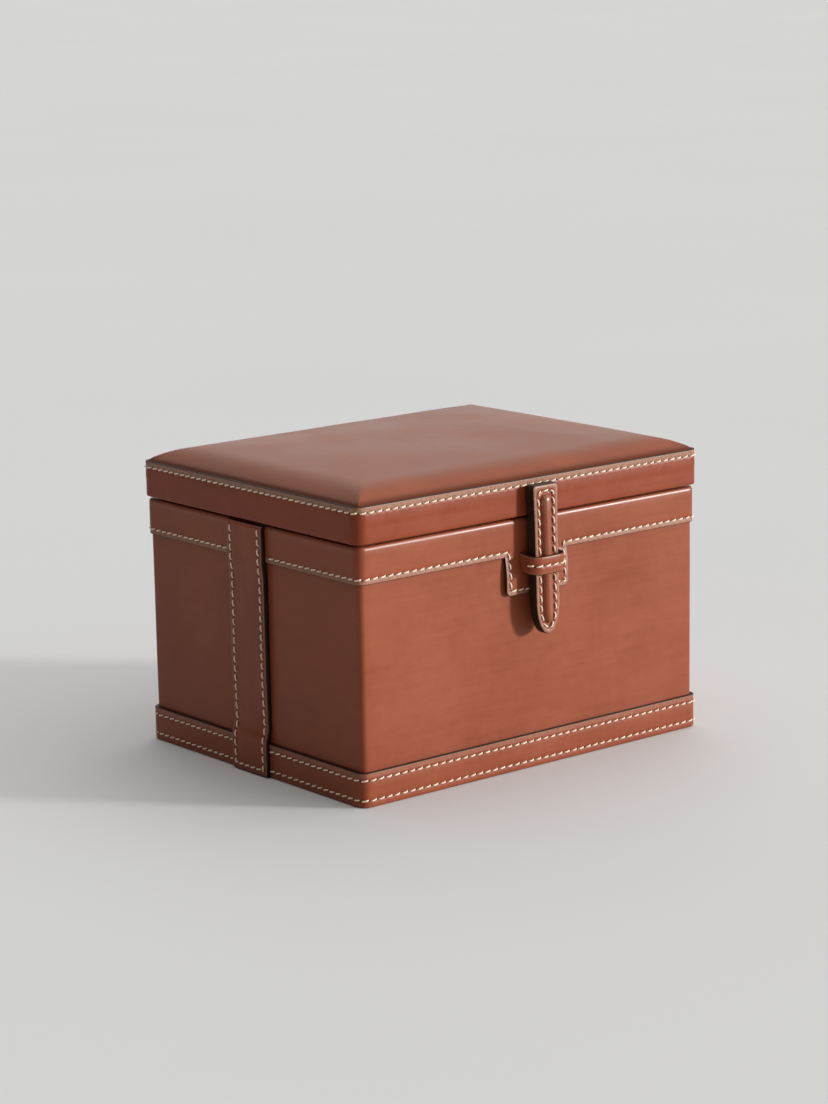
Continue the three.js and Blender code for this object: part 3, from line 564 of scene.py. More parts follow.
def stitch_tube(path, start, length, slant, rings=9, sides=8):
    """One stitch: a two-ply cord that rises out of one hole and dips into the next."""
    u = np.linspace(0, 1, rings)
    point, normal, tangent, across = path.frame(start + u * length)
    ends = (2 * u - 1) ** 4
    lift = THREAD_LIFT - (THREAD_LIFT + 1.5 * THREAD_RADIUS) * ends
    middle = point + normal * lift[:, None] + across * (slant * (1 - 2 * u))[:, None]
    angle = np.arange(sides) * 2 * math.pi / sides
    vertices = []
    for k in range(rings):
        ply = 1 + 0.13 * np.cos(2 * angle + 5.5 * u[k] * math.pi)
        radius = THREAD_RADIUS * ply * (1 - 0.3 * ends[k])
        ring = np.outer(np.cos(angle) * radius, across[k]) + np.outer(np.sin(angle) * radius, normal[k])
        vertices.append(middle[k] + ring)
    faces = [list(f) for f in grid_faces(rings, sides, False, True)]
    faces.append(list(range(sides))[::-1])
    faces.append([(rings - 1) * sides + k for k in range(sides)])
    return np.vstack(vertices), faces


def awl_hole(path, where, slant):
    """The slit between two stitches: a thin dark lens set in the leather, painted shade of the hole."""
    point, normal, tangent, across = (v[0] for v in path.frame(np.array([where])))
    long_way = tangent * 0.55 - across * math.copysign(0.85, slant)
    short_way = np.cross(normal, long_way)
    sides = 8
    angle = np.arange(sides) * 2 * math.pi / sides
    rim = point + np.outer(np.cos(angle) * HOLE_LONG, long_way)
    rim = rim + np.outer(np.sin(angle) * HOLE_WIDE, short_way)
    vertices = np.vstack([rim - normal * 0.12 * MM, point + normal * 0.035 * MM, point - normal * 0.3 * MM])
    faces = [[k, (k + 1) % sides, sides] for k in range(sides)]
    faces += [[(k + 1) % sides, k, sides + 1] for k in range(sides)]
    return vertices, faces


def stitch_row(name, paths, keep=None, slant=THREAD_SLANT):
    """All the stitches of a seam as one piece. keep says which places hold a stitch."""
    vertices, faces, kinds, total = [], [], [], 0
    for path in paths:
        pitch = path.fitted_pitch()
        count = round(path.length / pitch)
        for k in range(count):
            length = pitch * STITCH_SHARE * rng.uniform(0.96, 1.03)
            start = (k + 0.5) * pitch - length / 2
            lean = slant * rng.uniform(0.8, 1.25)
            middle = path.at(np.array([start + length / 2]))[0][0]
            pieces = []
            if keep is None or keep(middle):
                pieces.append((stitch_tube(path, start, length, lean), 0))
            hole_place = k * pitch
            if keep is None or keep(path.at(np.array([hole_place]))[0][0]):
                pieces.append((awl_hole(path, hole_place, slant), 1))
            for (points, quads), kind in pieces:
                vertices.append(points)
                faces += [[i + total for i in f] for f in quads]
                kinds += [kind] * len(quads)
                total += len(points)
    return make_mesh(name, np.vstack(vertices), faces, [THREAD, HOLE_SHADE], kinds)


def seam_dip(distance, along, pitch):
    """How far leather sinks at a seam: a groove, deeper at each hole."""
    groove = GROOVE_DEPTH * np.exp(-(distance / (0.9 * MM)) ** 2)
    hole = 0.5 + 0.5 * np.cos(2 * math.pi * along / pitch)
    pucker = PUCKER_DEPTH * hole ** 2 * np.exp(-(distance / (1.7 * MM)) ** 2)
    return groove + pucker


# ---- Leather bands ----

def arc_points(centre, radius, start, end, steps=4, height=None):
    """Points of an arc in a section: (offset, z), angles in degrees from outward to up."""
    angles = np.radians(np.linspace(start, end, steps + 1))
    tall = radius if height is None else height
    return [(centre[0] + radius * math.cos(a), centre[1] + tall * math.sin(a)) for a in angles]


def riser(offset, z0, z1, fine_at=(), coarse=2.2 * MM, fine=0.55 * MM):
    """Points up or down a section's straight face, closer together near each seam."""
    levels = [z0]
    direction = 1 if z1 > z0 else -1
    while True:
        near = any(abs(levels[-1] - z) < 3 * MM for z in fine_at)
        step = levels[-1] + direction * (fine if near else coarse)
        if (z1 - step) * direction < 0.3 * (fine if near else coarse):
            break
        levels.append(step)
    return [(offset, z) for z in levels[1:]]


def leather_band(name, stations, section, materials, seams, outside,
                 wear_and_sheen_edge=None, wear_and_sheen_share=1.0, wave=0.0, ridge=None):
    """A closed band. Its section is (offset, z, material), seams are heights, and the wear edge (z, width)
    marks a margin painted lighter, partly wear and partly sheen.
    """
    columns = len(stations)
    points = np.array([at_height(ring_xy(stations, offset), z) for offset, z, _ in section])
    normals = ring_normals(stations)
    along_path = band_path(stations, outside, 0.0)
    along = along_path.along[:-1]
    pitch = along_path.fitted_pitch()
    wear_and_sheen = np.zeros(points.shape[:2])
    for r, (offset, z, _) in enumerate(section):
        on_face = offset > outside - 0.5 * MM
        if on_face:
            sink = sum(seam_dip(z - seam, along, pitch) for seam in seams)
            points[r] -= normals * np.asarray(sink)[:, None] if len(seams) else 0
            if ridge is not None:
                points[r] += normals * RIDGE_HEIGHT * math.exp(-((z - ridge) / (0.9 * MM)) ** 2)
            wobble = wave * smooth_noise(points[r], 55 * MM, 3)
            points[r] -= normals * (0.5 * (wave + wobble))[:, None]
        if wear_and_sheen_edge is not None:
            edge, width = wear_and_sheen_edge
            wear_and_sheen[r] = wear_and_sheen_share * float(1 - ease(abs(z - edge), 0.7 * width, width))
    faces = grid_faces(len(section), columns, True, True)
    kinds = np.repeat([m for _, _, m in section], columns)
    return make_mesh(name, points.reshape(-1, 3), faces, materials, kinds,
                     attributes={"wear_and_sheen": wear_and_sheen.ravel()})


def with_material(points, index):
    return [(offset, z, index) for offset, z in points]


def band_path(stations, offset, z):
    return Path(at_height(ring_xy(stations, offset), z), ring_normals(stations), True)


def beside_side_straps(point):
    """False where a side strap lies over the seam."""
    return not (abs(point[1]) < SIDE_HIGH.y + 0.6 * MM and abs(point[0]) > HALF_X - 3 * MM)


STATIONS = plan_stations(STITCH_PITCH / 4)


def build_body_leather():
    low, high = PANEL_LOW.z, PANEL_HIGH.z
    section = with_material(riser(0, low, high, coarse=5 * MM) + [(0, high)], 0)
    section += with_material([(-LEATHER, high), (-LEATHER, low), (0, low)], 0)
    stations = plan_stations(5 * MM)
    made = leather_band("body_leather_panels", stations, section, [TAN], [], 0, wave=0.14 * MM)
    attach(made, "case", "leather", "body_leather")


def build_base_band():
    top = BASE_HIGH.z
    foot = 1.1 * MM
    seams = [BASE_STITCH_INSET, top - BASE_STITCH_INSET]
    section = with_material(arc_points((BASE_OUT - foot, foot), foot, -90, 0, 4), 0)
    section += with_material(riser(BASE_OUT, foot, top - EDGE_ROUND, seams), 0)
    section += with_material(arc_points((BASE_OUT - EDGE_ROUND, top - EDGE_ROUND), EDGE_ROUND, 0, 90, 3), 1)
    section += with_material([(GLUE, top)], 1)
    section += with_material([(GLUE, 0)], 0)
    # The margin under the band's top edge is painted lighter: partly wear, partly painted sheen.
    made = leather_band("base_band_leather", STATIONS, section, [TAN, EDGE], seams, BASE_OUT,
                        wear_and_sheen_edge=(top, 3.4 * MM), wear_and_sheen_share=0.45)
    attach(made, "case", "leather", "base_band")
    paths = [band_path(STATIONS, BASE_OUT, z) for z in seams]
    sew("base_band_thread", paths, "case", beside_side_straps)


def build_lid_band():
    low, rim = LID_LOW.z - 0.3 * MM, LID_HIGH.z
    turn = 0.9 * MM
    inner = LID_OUT - LEATHER
    section = with_material(arc_points((LID_OUT - turn, low + turn), turn, -90, 0, 5), 0)
    section += with_material(riser(LID_OUT, low + turn, rim - EDGE_ROUND, [LID_STITCH_Z]), 0)
    section += with_material(arc_points((LID_OUT - EDGE_ROUND, rim - EDGE_ROUND), EDGE_ROUND, 0, 90, 3), 1)
    section += with_material(arc_points((inner + EDGE_ROUND, rim - EDGE_ROUND), EDGE_ROUND, 90, 180, 3), 0)
    under = low + LEATHER
    inner_low = inner - 4.6 * MM
    section += with_material([(inner, under), (inner_low, under), (inner_low, low)], 0)
    # The strip by the rim is painted lighter and greyer: partly wear, partly painted sheen.
    made = leather_band("lid_band_leather", STATIONS, section, [LID_TAN, EDGE], [LID_STITCH_Z], LID_OUT,
                        wear_and_sheen_edge=(rim, 4.0 * MM), ridge=LID_STITCH_Z - 4.4 * MM)
    attach(made, "lid", "leather", "lid_band")
    sew("lid_band_thread", [band_path(STATIONS, LID_OUT, LID_STITCH_Z)], "lid")


# ---- Collar with its drop tab ----

def collar_stations():
    """Round the rim, with stations on both sides of the tab and close together on it."""
    side = HALF_X - PANEL_CORNER
    count = 2 + round((side - TAB_HALF) / (STITCH_PITCH / 4))
    before = np.linspace(-side, LATCH_X - TAB_HALF, count)[1:-1]
    middle = LATCH_X + np.linspace(-TAB_HALF, TAB_HALF, 1 + round(2 * TAB_HALF / (0.8 * MM)))
    after = np.linspace(LATCH_X + TAB_HALF, side, count)[1:-1]
    x = np.concatenate([before, middle, after])
    return plan_stations(STITCH_PITCH / 4, front_shares=list((x + side) / (2 * side)))


def collar_seam():
    """The seam runs round the rim and dips round the tab's edge."""
    z = COLLAR_STITCH_Z
    low = TAB_LOW_Z + TAB_STITCH_INSET
    in_x = TAB_HALF - TAB_STITCH_INSET
    front_y = -(HALF_Y + COLLAR_OUT)
    stations = plan_stations(2 * MM)
    ring = at_height(ring_xy(stations, COLLAR_OUT), z)
    normals = ring_normals(stations)
    on_front = (stations[:, 0] == 2) & (stations[:, 2] > 0)
    first = np.argmax(on_front)
    last = len(on_front) - np.argmax(on_front[::-1])
    heights = np.linspace(z, low, 12)
    front = [[LATCH_X - in_x, front_y - tab_lift(h), h] for h in heights]
    front += [[LATCH_X + in_x, front_y - tab_lift(h), h] for h in heights[::-1]]
    points = np.vstack([ring[:first], front, ring[last:]])
    all_normals = np.vstack([normals[:first], np.tile([0, -1, 0], (len(front), 1)), normals[last:]])
    return Path(points, all_normals, True)


def distance_to_path(path, points):
    """Distance from each point to the path, and the distance along it of the nearest spot."""
    best = np.full(len(points), 1.0)
    along = np.zeros(len(points))
    for a, b, start in zip(path.points[:-1], path.points[1:], path.along[:-1]):
        edge = b - a
        length = np.linalg.norm(edge)
        if length < 1e-9:
            continue
        share = np.clip((points - a) @ edge / length ** 2, 0, 1)
        gap = np.linalg.norm(points - (a + share[:, None] * edge), axis=1)
        closer = gap < best
        best = np.where(closer, gap, best)
        along = np.where(closer, start + share * length, along)
    return best, along


def tab_lift(z):
    """How far the tab's free end stands off the panel, over the keeper's ends."""
    return TAB_LIFT * ease(COLLAR_EDGE_Z + 3 * MM - z, 0, 14 * MM)


def round_tab_corner(u, v):
    """Pulls the tab's two lower corners in to a round. u is across, v up from the low edge."""
    side = np.sign(u)
    p = np.clip((np.abs(u) - (TAB_HALF - TAB_CORNER)) / TAB_CORNER, 0, 1)
    q = np.clip((TAB_CORNER - v) / TAB_CORNER, 0, 1)
    inside = (p > 0) & (q > 0)
    new_p = p * np.sqrt(1 - q ** 2 / 2)
    new_q = q * np.sqrt(1 - p ** 2 / 2)
    u = np.where(inside, side * (TAB_HALF - TAB_CORNER + new_p * TAB_CORNER), u)
    v = np.where(inside, TAB_CORNER - new_q * TAB_CORNER, v)
    return u, v


COLLAR_TURN = 1.2 * MM
COLLAR_TURN_HEIGHT = 2.4 * MM
TAB_STEP = 0.8 * MM


def collar_section():
    """The band's section as (offset, z): outer leg, rounded top, turned-in inner leg."""
    top, edge = COLLAR_HIGH.z, COLLAR_EDGE_Z
    turn_z = top - COLLAR_TURN_HEIGHT
    lining_in, lining_out = -7.7 * MM, -6.6 * MM
    inner_low = top - 12 * MM
    cap = top - LEATHER
    section = [(COLLAR_OUT, edge)] + riser(COLLAR_OUT, edge, turn_z, [COLLAR_STITCH_Z])
    section += arc_points((COLLAR_OUT - COLLAR_TURN, turn_z), COLLAR_TURN, 0, 90, 9, COLLAR_TURN_HEIGHT)
    section += [(-3 * MM, top)]
    section += arc_points((lining_in + 0.6 * MM, top - 0.6 * MM), 0.6 * MM, 90, 180, 3)
    section += [(lining_in, inner_low), (lining_out, inner_low), (lining_out, cap)]
    return section + [(GLUE, cap), (GLUE, edge)]


def tab_sheet(offset, tab_x):
    """Points down one face of the tab, row by row below the band's own row."""
    depth = COLLAR_EDGE_Z - TAB_LOW_Z
    steps = round(depth / TAB_STEP)
    points = []
    for k in range(1, steps + 1):
        u, v = round_tab_corner(tab_x - LATCH_X, np.full(len(tab_x), depth * (1 - k / steps)))
        y = -(HALF_Y + offset) - tab_lift(TAB_LOW_Z + v)
        points.append(np.column_stack([LATCH_X + u, y, TAB_LOW_Z + v]))
    return np.array(points)


def tab_faces(front, back):
    """Faces and material numbers of the tab, from the vertex numbers of its two faces."""
    faces, kinds = [], []
    columns = range(front.shape[1] - 1)
    for k in range(len(front) - 1):
        for i in columns:
            faces.append([front[k + 1][i], front[k + 1][i + 1], front[k][i + 1], front[k][i]])
            faces.append([back[k][i], back[k][i + 1], back[k + 1][i + 1], back[k + 1][i]])
            kinds += [0, 0]
        for i, order in ((0, 1), (-1, -1)):
            faces.append([front[k][i], back[k][i], back[k + 1][i], front[k + 1][i]][::order])
            kinds.append(1)
    for i in columns:
        faces.append([front[-1][i], back[-1][i], back[-1][i + 1], front[-1][i + 1]])
        kinds.append(1)
    return faces, kinds


def collar_mesh(stations):
    """Vertices, faces and material numbers of the band, open below where the tab hangs on."""
    columns = len(stations)
    section = collar_section()
    rows = len(section)
    band = np.vstack([at_height(ring_xy(stations, offset), z) for offset, z in section])
    x = band[:columns, 0]
    on_front = (stations[:, 0] == 2) & (stations[:, 2] > 0)
    on_tab = np.nonzero(on_front & (np.abs(x - LATCH_X) < TAB_HALF + 0.01 * MM))[0]
    faces, kinds = [], []
    for k, face in enumerate(grid_faces(rows, columns, True, True)):
        row, column = divmod(k, columns)
        is_lower_edge = row == rows - 1
        if not (is_lower_edge and on_tab[0] <= column < on_tab[-1]):
            faces.append(list(face))
            kinds.append(1 if is_lower_edge else 0)
    points, grids = [band], []
    total = len(band)
    for offset, row in ((COLLAR_OUT, 0), (GLUE, rows - 1)):
        sheet = tab_sheet(offset, x[on_tab])
        numbers = total + np.arange(sheet.shape[0] * sheet.shape[1]).reshape(sheet.shape[:2])
        grids.append(np.vstack([row * columns + on_tab, numbers]))
        points.append(sheet.reshape(-1, 3))
        total += numbers.size
    more_faces, more_kinds = tab_faces(*grids)
    return np.vstack(points), faces + more_faces, kinds + more_kinds


def beyond_panel(x, y):
    """How far plan points lie outside the panels, and the outward direction there."""
    over_x = np.abs(x) - (HALF_X - PANEL_CORNER)
    over_y = np.abs(y) - (HALF_Y - PANEL_CORNER)
    in_corner = (over_x > 0) & (over_y > 0)
    reach = np.where(in_corner, np.hypot(over_x, over_y), np.maximum(over_x, over_y))
    out_x = np.sign(x) * np.where(in_corner, over_x, over_x > over_y)
    out_y = np.sign(y) * np.where(in_corner, over_y, over_x <= over_y)
    length = np.maximum(np.hypot(out_x, out_y), 1e-9)
    return reach - PANEL_CORNER, out_x / length, out_y / length


def is_outer_face(point):
    """True for a point on the collar's outer face."""
    return beyond_panel(point.x, point.y)[0] > COLLAR_OUT - 0.05 * MM


def round_collar_edge(made):
    """Rounds the painted edge where it meets the outer face."""
    with edited(made) as work:
        rim = [e for e in work.edges
               if len(e.link_faces) == 2 and {f.material_index for f in e.link_faces} == {0, 1}
               and all(is_outer_face(v.co) for v in e.verts)]
        bmesh.ops.bevel(work, geom=rim, offset=EDGE_ROUND, segments=3, profile=0.5,
                        affect="EDGES", material=1)


def press_collar_seam(made, seam):
    """Sinks the seam into the outer face, and paints the leather between it and the edge lighter, partly wear
    and partly painted sheen.
    """
    top = COLLAR_HIGH.z
    co = read_points(made.data)
    reach, out_x, out_y = beyond_panel(co[:, 0], co[:, 1])
    on_face = (reach > COLLAR_OUT - 0.5 * MM) & (co[:, 2] < top - COLLAR_TURN_HEIGHT)
    gap, along = distance_to_path(seam, co)
    sink = np.where(on_face, seam_dip(gap, along, seam.fitted_pitch()), 0)
    co[:, 0] -= out_x * sink
    co[:, 1] -= out_y * sink
    write_points(made.data, co)
    wear_and_sheen = np.where(on_face & below_seam(co), 0.7 * (1 - ease(gap, 3.0 * MM, 4.0 * MM)), 0)
    paint(made.data, {"wear_and_sheen": wear_and_sheen, "shine": ease(co[:, 2], top - 4.5 * MM, top - 1.2 * MM)})


def build_collar():
    """One leather band over the rim, with a drop tab at the front."""
    vertices, faces, kinds = collar_mesh(collar_stations())
    made = make_mesh("collar_leather", vertices, faces, [TAN, EDGE], kinds)
    round_collar_edge(made)
    seam = collar_seam()
    press_collar_seam(made, seam)
    attach(made, "case", "leather", "collar_band")
    sew("collar_thread", [seam], "case", beside_side_straps)


def below_seam(co):
    """True between the seam and the collar's edge, round the tab too."""
    across = np.abs(co[:, 0] - LATCH_X)
    on_tab = (across < TAB_HALF + 0.1 * MM) & (co[:, 1] < 0) & (co[:, 2] < COLLAR_STITCH_Z)
    in_x = TAB_HALF - TAB_STITCH_INSET
    outside_tab_seam = (across > in_x) | (co[:, 2] < TAB_LOW_Z + TAB_STITCH_INSET)
    return np.where(on_tab, outside_tab_seam, co[:, 2] < COLLAR_STITCH_Z)


# ---- Side straps ----

def strap_rise(z, over_base, over_panel, over_collar):
    """A height off the side panel that eases over the base band below and the collar above."""
    down = 1 - ease(z, BASE_HIGH.z - 0.6 * MM, BASE_HIGH.z + 9 * MM)
    up = ease(z, COLLAR_EDGE_Z - 10 * MM, COLLAR_EDGE_Z - 0.5 * MM)
    return over_panel + (over_base - over_panel) * down + (over_collar - over_panel) * up


def strap_inside(z):
    """How far the strap's inner face stands off the panel, at each height."""
    return strap_rise(z, BASE_OUT + GLUE, GLUE, COLLAR_OUT + GLUE)


def strap_outside(z):
    """The same for its outer face, padded out over the bare panel. Its dark side is partly edge paint, partly
    painted shade of a gap.
    """
    fullness = STRAP_PADDING * ease(z, BASE_HIGH.z, BASE_HIGH.z + 45 * MM)
    thick = SIDE_HIGH.x - HALF_X - BASE_OUT - GLUE
    return thick + strap_rise(z, BASE_OUT + 0.5 * MM, 0.6 * MM + fullness, COLLAR_OUT + 0.9 * MM)


SIDE_HALF = SIDE_HIGH.y
SIDE_TOP_Z = COLLAR_HIGH.z - 0.3 * MM
SIDE_EDGE_POINTS = 5


def side_top_end(z):
    """0 down the strap, rising at its top end, where it rounds over."""
    return ease(z, SIDE_TOP_Z - 2.2 * MM, SIDE_TOP_Z + 0.5 * MM) ** 2


def side_face(z, y):
    """How far the outer face stands off the panel, with a slight crown across."""
    crown = 0.25 * MM * (1 - (y / SIDE_HALF) ** 2)
    return strap_outside(z) + crown - 1.1 * MM * side_top_end(z)


def side_columns():
    """Places across the face, close together at the two seams."""
    beside = np.linspace(0.4 * MM, SIDE_SEAM_INSET - 2 * MM, 2)
    at_seam = SIDE_SEAM_INSET + np.linspace(-1.6, 1.6, 9) * MM
    left = -SIDE_HALF + np.concatenate([beside, at_seam])
    middle = np.linspace(left[-1], -left[-1], 16)[1:-1]
    return np.concatenate([left, middle, -left[::-1]])


def side_ring(z, face_y):
    """The section at one height as (out, y), from the inner face over the outer and back."""
    inner = strap_inside(z) - 1.3 * MM * side_top_end(z)
    face = side_face(z, face_y)
    edge_y = SIDE_HALF - np.array([0.2, 0, 0, 0, 0.12]) * MM
    edge_out = np.array([inner, inner + 0.2 * MM, 0.5 * (inner + face[0]),
                         face[0] - 0.35 * MM, face[0] - 0.12 * MM])
    out = np.concatenate([edge_out, face, edge_out[::-1]])
    return out, np.concatenate([-edge_y, face_y, edge_y[::-1]])


def side_seam(side):
    """Down one side, across the foot and up the other side."""
    seam_y = SIDE_HALF - SIDE_SEAM_INSET
    foot_z, top, step = BASE_STITCH_INSET - 0.2 * MM, SIDE_TOP_Z - 1.2 * MM, 0.8 * MM
    line = [(z, -seam_y) for z in np.arange(top, foot_z, -step)]
    line += [(foot_z, y) for y in np.linspace(-seam_y, seam_y, 20)]
    line += [(z, seam_y) for z in np.arange(foot_z + step, top, step)]
    points = np.array([(side * (HALF_X + float(side_face(z, y))), y, z) for z, y in line])
    return Path(points[::side], np.tile([side, 0, 0], (len(points), 1)))


def build_side_strap(side):
    """A strap from the base edge to the rim, stitched down both sides and across its foot."""
    name = "right" if side > 0 else "left"
    upper = SIDE_TOP_Z - 3 * MM
    levels = np.concatenate([np.arange(SIDE_LOW.z, upper, 1.25 * MM), np.linspace(upper, SIDE_TOP_Z, 7)])
    rows = []
    for z in levels:
        out, y = side_ring(z, side_columns())
        rows.append(np.column_stack([side * (HALF_X + out), y, np.full(len(y), z)]))
    count = len(rows[0])
    flat = np.vstack(rows)
    seam = side_seam(side)
    gap, along = distance_to_path(seam, flat)
    column = np.tile(np.arange(count), len(levels))
    on_face = (column >= SIDE_EDGE_POINTS) & (column < count - SIDE_EDGE_POINTS)
    flat[:, 0] -= side * np.where(on_face, seam_dip(gap, along, seam.fitted_pitch()), 0)
    # Edge margins painted lighter: partly wear, partly painted sheen.
    edge_gap = SIDE_HALF - np.abs(flat[:, 1])
    wear_and_sheen = np.where(on_face, 0.45 * np.exp(-(edge_gap / (1.1 * MM)) ** 2), 0)
    faces = [list(f) for f in grid_faces(len(levels), count, False, True)]
    # The sides take the dark edge paint, which over the padded-out height is also painted shade of a gap.
    kinds = [0 if SIDE_EDGE_POINTS <= i % count < count - SIDE_EDGE_POINTS - 1 else 1
             for i in range(len(faces))]
    faces.append(list(range(count))[::-1])
    faces.append([(len(levels) - 1) * count + k for k in range(count)])
    made = make_mesh(f"side_strap_{name}_leather", flat, faces, [STRAP_TAN, EDGE], kinds + [1, 1],
                     attributes={"wear_and_sheen": wear_and_sheen})
    weld(made)
    attach(made, "case", "leather", f"side_strap_{name}")
    sew(f"side_strap_{name}_thread", [seam], "case")


# ---- Keeper loop ----

def rounded_corners(points, rounds=4):
    """Cuts a polyline's corners again and again until it is a smooth curve."""
    points = np.asarray(points, float)
    for _ in range(rounds):
        a, b = points[:-1], points[1:]
        cut = np.empty((2 * len(a), points.shape[1]))
        cut[0::2] = 0.75 * a + 0.25 * b
        cut[1::2] = 0.25 * a + 0.75 * b
        points = np.vstack([points[:1], cut[1:-1], points[-1:]])
    return points


KEEPER_THICK = 1.4 * MM
KEEPER_WIDTH = 9.8 * MM
KEEPER_MIDDLE_Z = 0.5 * (KEEPER_HIGH.z + KEEPER_LOW.z) + 1.3 * MM


def keeper_line():
    """The loop's middle line in plan, and the heights along it: it sags a little at the front."""
    foot_x, foot_y = KEEPER_HIGH.x - KEEPER_THICK / 2, KEEPER_HIGH.y
    bend_y = STRAP_FRONT_Y - strap_lean(KEEPER_MIDDLE_Z)
    front_y = bend_y - RIB_HEIGHT - 0.15 * MM - KEEPER_THICK / 2
    right = [(foot_x, foot_y), (foot_x, -HALF_Y - TAB_LIFT - 1.5 * MM),
             (foot_x - 0.1 * MM, bend_y + 3 * MM), (foot_x - 0.3 * MM, bend_y - 0.2 * MM),
             (0.7 * foot_x, front_y + 0.2 * MM), (0.3 * foot_x, front_y - 0.1 * MM), (0, front_y - 0.1 * MM)]
    line = rounded_corners([(-x, y) for x, y in right] + right[-2::-1]) + [LATCH_X, 0]
    sag = -1.4 * MM * ease(foot_y - line[:, 1], 0, foot_y - front_y)
    return line, KEEPER_MIDDLE_Z + 0.7 * MM + sag, line[:, 1] < bend_y + 3.2 * MM


def keeper_section():
    """The section as (along its width, out, material): bulged front, beaded edges, flat back."""
    half, thick = KEEPER_WIDTH / 2, KEEPER_THICK / 2
    bead, cut = 0.45 * MM, 0.2 * MM
    side_w = np.linspace(half - bead, 1.6 * MM, 5)
    face_w = np.concatenate([-side_w, np.linspace(-1.2, 1.2, 7) * MM, side_w[::-1]])
    front = [(w, thick + 0.22 * MM * (1 - (w / half) ** 2), 0) for w in face_w]
    upper = [(half - bead * (1 - math.sin(a)), thick - bead * (1 - math.cos(a)), 1)
             for a in np.radians([30, 60, 90])]
    lower = [(-w, out, 1) for w, out, _ in reversed(upper)]
    back = [(half, cut - thick, 1), (half - cut, -thick, 0), (cut - half, -thick, 0), (-half, cut - thick, 1)]
    return lower + front + upper + back


def build_keeper():
    """A loop of leather over the latch strap, its ends tucked into the tab's two slots."""
    line, heights, on_front = keeper_line()
    section = keeper_section()
    tangent = np.gradient(line, axis=0)
    tangent /= np.linalg.norm(tangent, axis=1, keepdims=True)
    normal = np.column_stack([tangent[:, 1], -tangent[:, 0]])
    outward = np.column_stack([normal, np.zeros(len(line))])
    middle = np.column_stack([line, heights])
    seam_points = middle + outward * (KEEPER_THICK / 2 + 0.2 * MM)
    seam = Path(seam_points[on_front], outward[on_front])
    flat = np.vstack([middle + outward * out + [0, 0, w] for w, out, _ in section])
    gap, along = distance_to_path(seam, flat)
    count, rows = len(line), len(section)
    is_front = np.repeat([out > 0.3 * KEEPER_THICK and m == 0 for _, out, m in section], count)
    sink = np.where(is_front, 1.2 * seam_dip(gap, along, seam.fitted_pitch()), 0)
    flat -= np.tile(outward, (rows, 1)) * sink[:, None]
    faces = [list(f) for f in grid_faces(rows, count, True, False)]
    kinds = [section[i // (count - 1)][2] for i in range(len(faces))]
    faces.append([r * count for r in range(rows)])
    faces.append([r * count + count - 1 for r in range(rows)][::-1])
    # Edge margins painted lighter: partly wear, partly painted sheen.
    edge_gaps = [KEEPER_WIDTH / 2 - abs(w) for w, _, _ in section]
    wear_and_sheen = np.repeat([0.5 * max(0, 1 - gap / (1.4 * MM)) for gap in edge_gaps], count)
    made = make_mesh("keeper_loop_leather", flat, faces, [STRAP_TAN, EDGE], kinds + [1, 1],
                     attributes={"wear_and_sheen": wear_and_sheen})
    weld(made)
    attach(made, "case", "leather", "keeper_loop")
    sew("keeper_loop_thread", [seam], "case")


# ---- Latch strap ----

def strap_lean(z):
    """How far the strap stands out beyond its resting plane, more towards the free tip."""
    share = np.clip((ROOT_HIGH.z - z) / (ROOT_HIGH.z - FACE_LOW.z), 0, 1)
    return STRAP_LEAN_TOP + (STRAP_LEAN_TIP - STRAP_LEAN_TOP) * share


def strap_outline():
    """The right half of the strap's outline from tip to top, then the left half back down."""
    tip, top = FACE_LOW.z, ROOT_HIGH.z
    a, b = STRAP_HALF, tip + 17 * MM
    start, c1, c2, end = (0, tip), (0.58 * a, tip), (a, b - 8 * MM), (a, b)
    t = np.linspace(0, 1, 26)[:, None]
    nose = ((1 - t) ** 3 * np.array(start) + 3 * (1 - t) ** 2 * t * np.array(c1)
            + 3 * (1 - t) * t ** 2 * np.array(c2) + t ** 3 * np.array(end))
    corner = 1.6 * MM
    side_z = np.linspace(b, top - corner, round((top - corner - b) / (0.9 * MM)))[1:]
    side = np.column_stack([np.full(len(side_z), a), side_z])
    angle = np.radians(np.linspace(0, 90, 7))[1:]
    bend = np.column_stack([a - corner + corner * np.cos(angle), top - corner + corner * np.sin(angle)])
    across = np.linspace(a - corner, 0, 9)[1:]
    head = np.column_stack([across, np.full(len(across), top)])
    right = np.vstack([nose, side, bend, head])
    left = right[-2:0:-1] * [-1, 1]
    outline = np.vstack([right, left])
    outline[:, 0] *= 1 - 0.05 * ease(top - outline[:, 1], 0, 24 * MM)
    return outline


def strap_spine(outline):
    """The point on the strap's middle line that each outline point looks towards."""
    tip, top = FACE_LOW.z, ROOT_HIGH.z
    z = np.clip(outline[:, 1], tip + 1.06 * STRAP_HALF, top - STRAP_HALF)
    return np.column_stack([np.zeros(len(z)), z])


def strap_loop(outline, spine, inset):
    """The outline moved in by inset. Past the rib's foot, its top end grows round."""
    share = min(inset / STRAP_HALF, 1)
    loop = outline + (spine - outline) * share
    top_end = outline[:, 1] > ROOT_HIGH.z - STRAP_HALF
    away = loop - spine
    length = np.maximum(np.linalg.norm(away, axis=1, keepdims=True), 1e-9)
    rounded = spine + away / length * (STRAP_HALF - inset)
    mix = float(ease(inset, 2.4 * MM, 4.6 * MM))
    return np.where(top_end[:, None], loop * (1 - mix) + rounded * mix, loop)


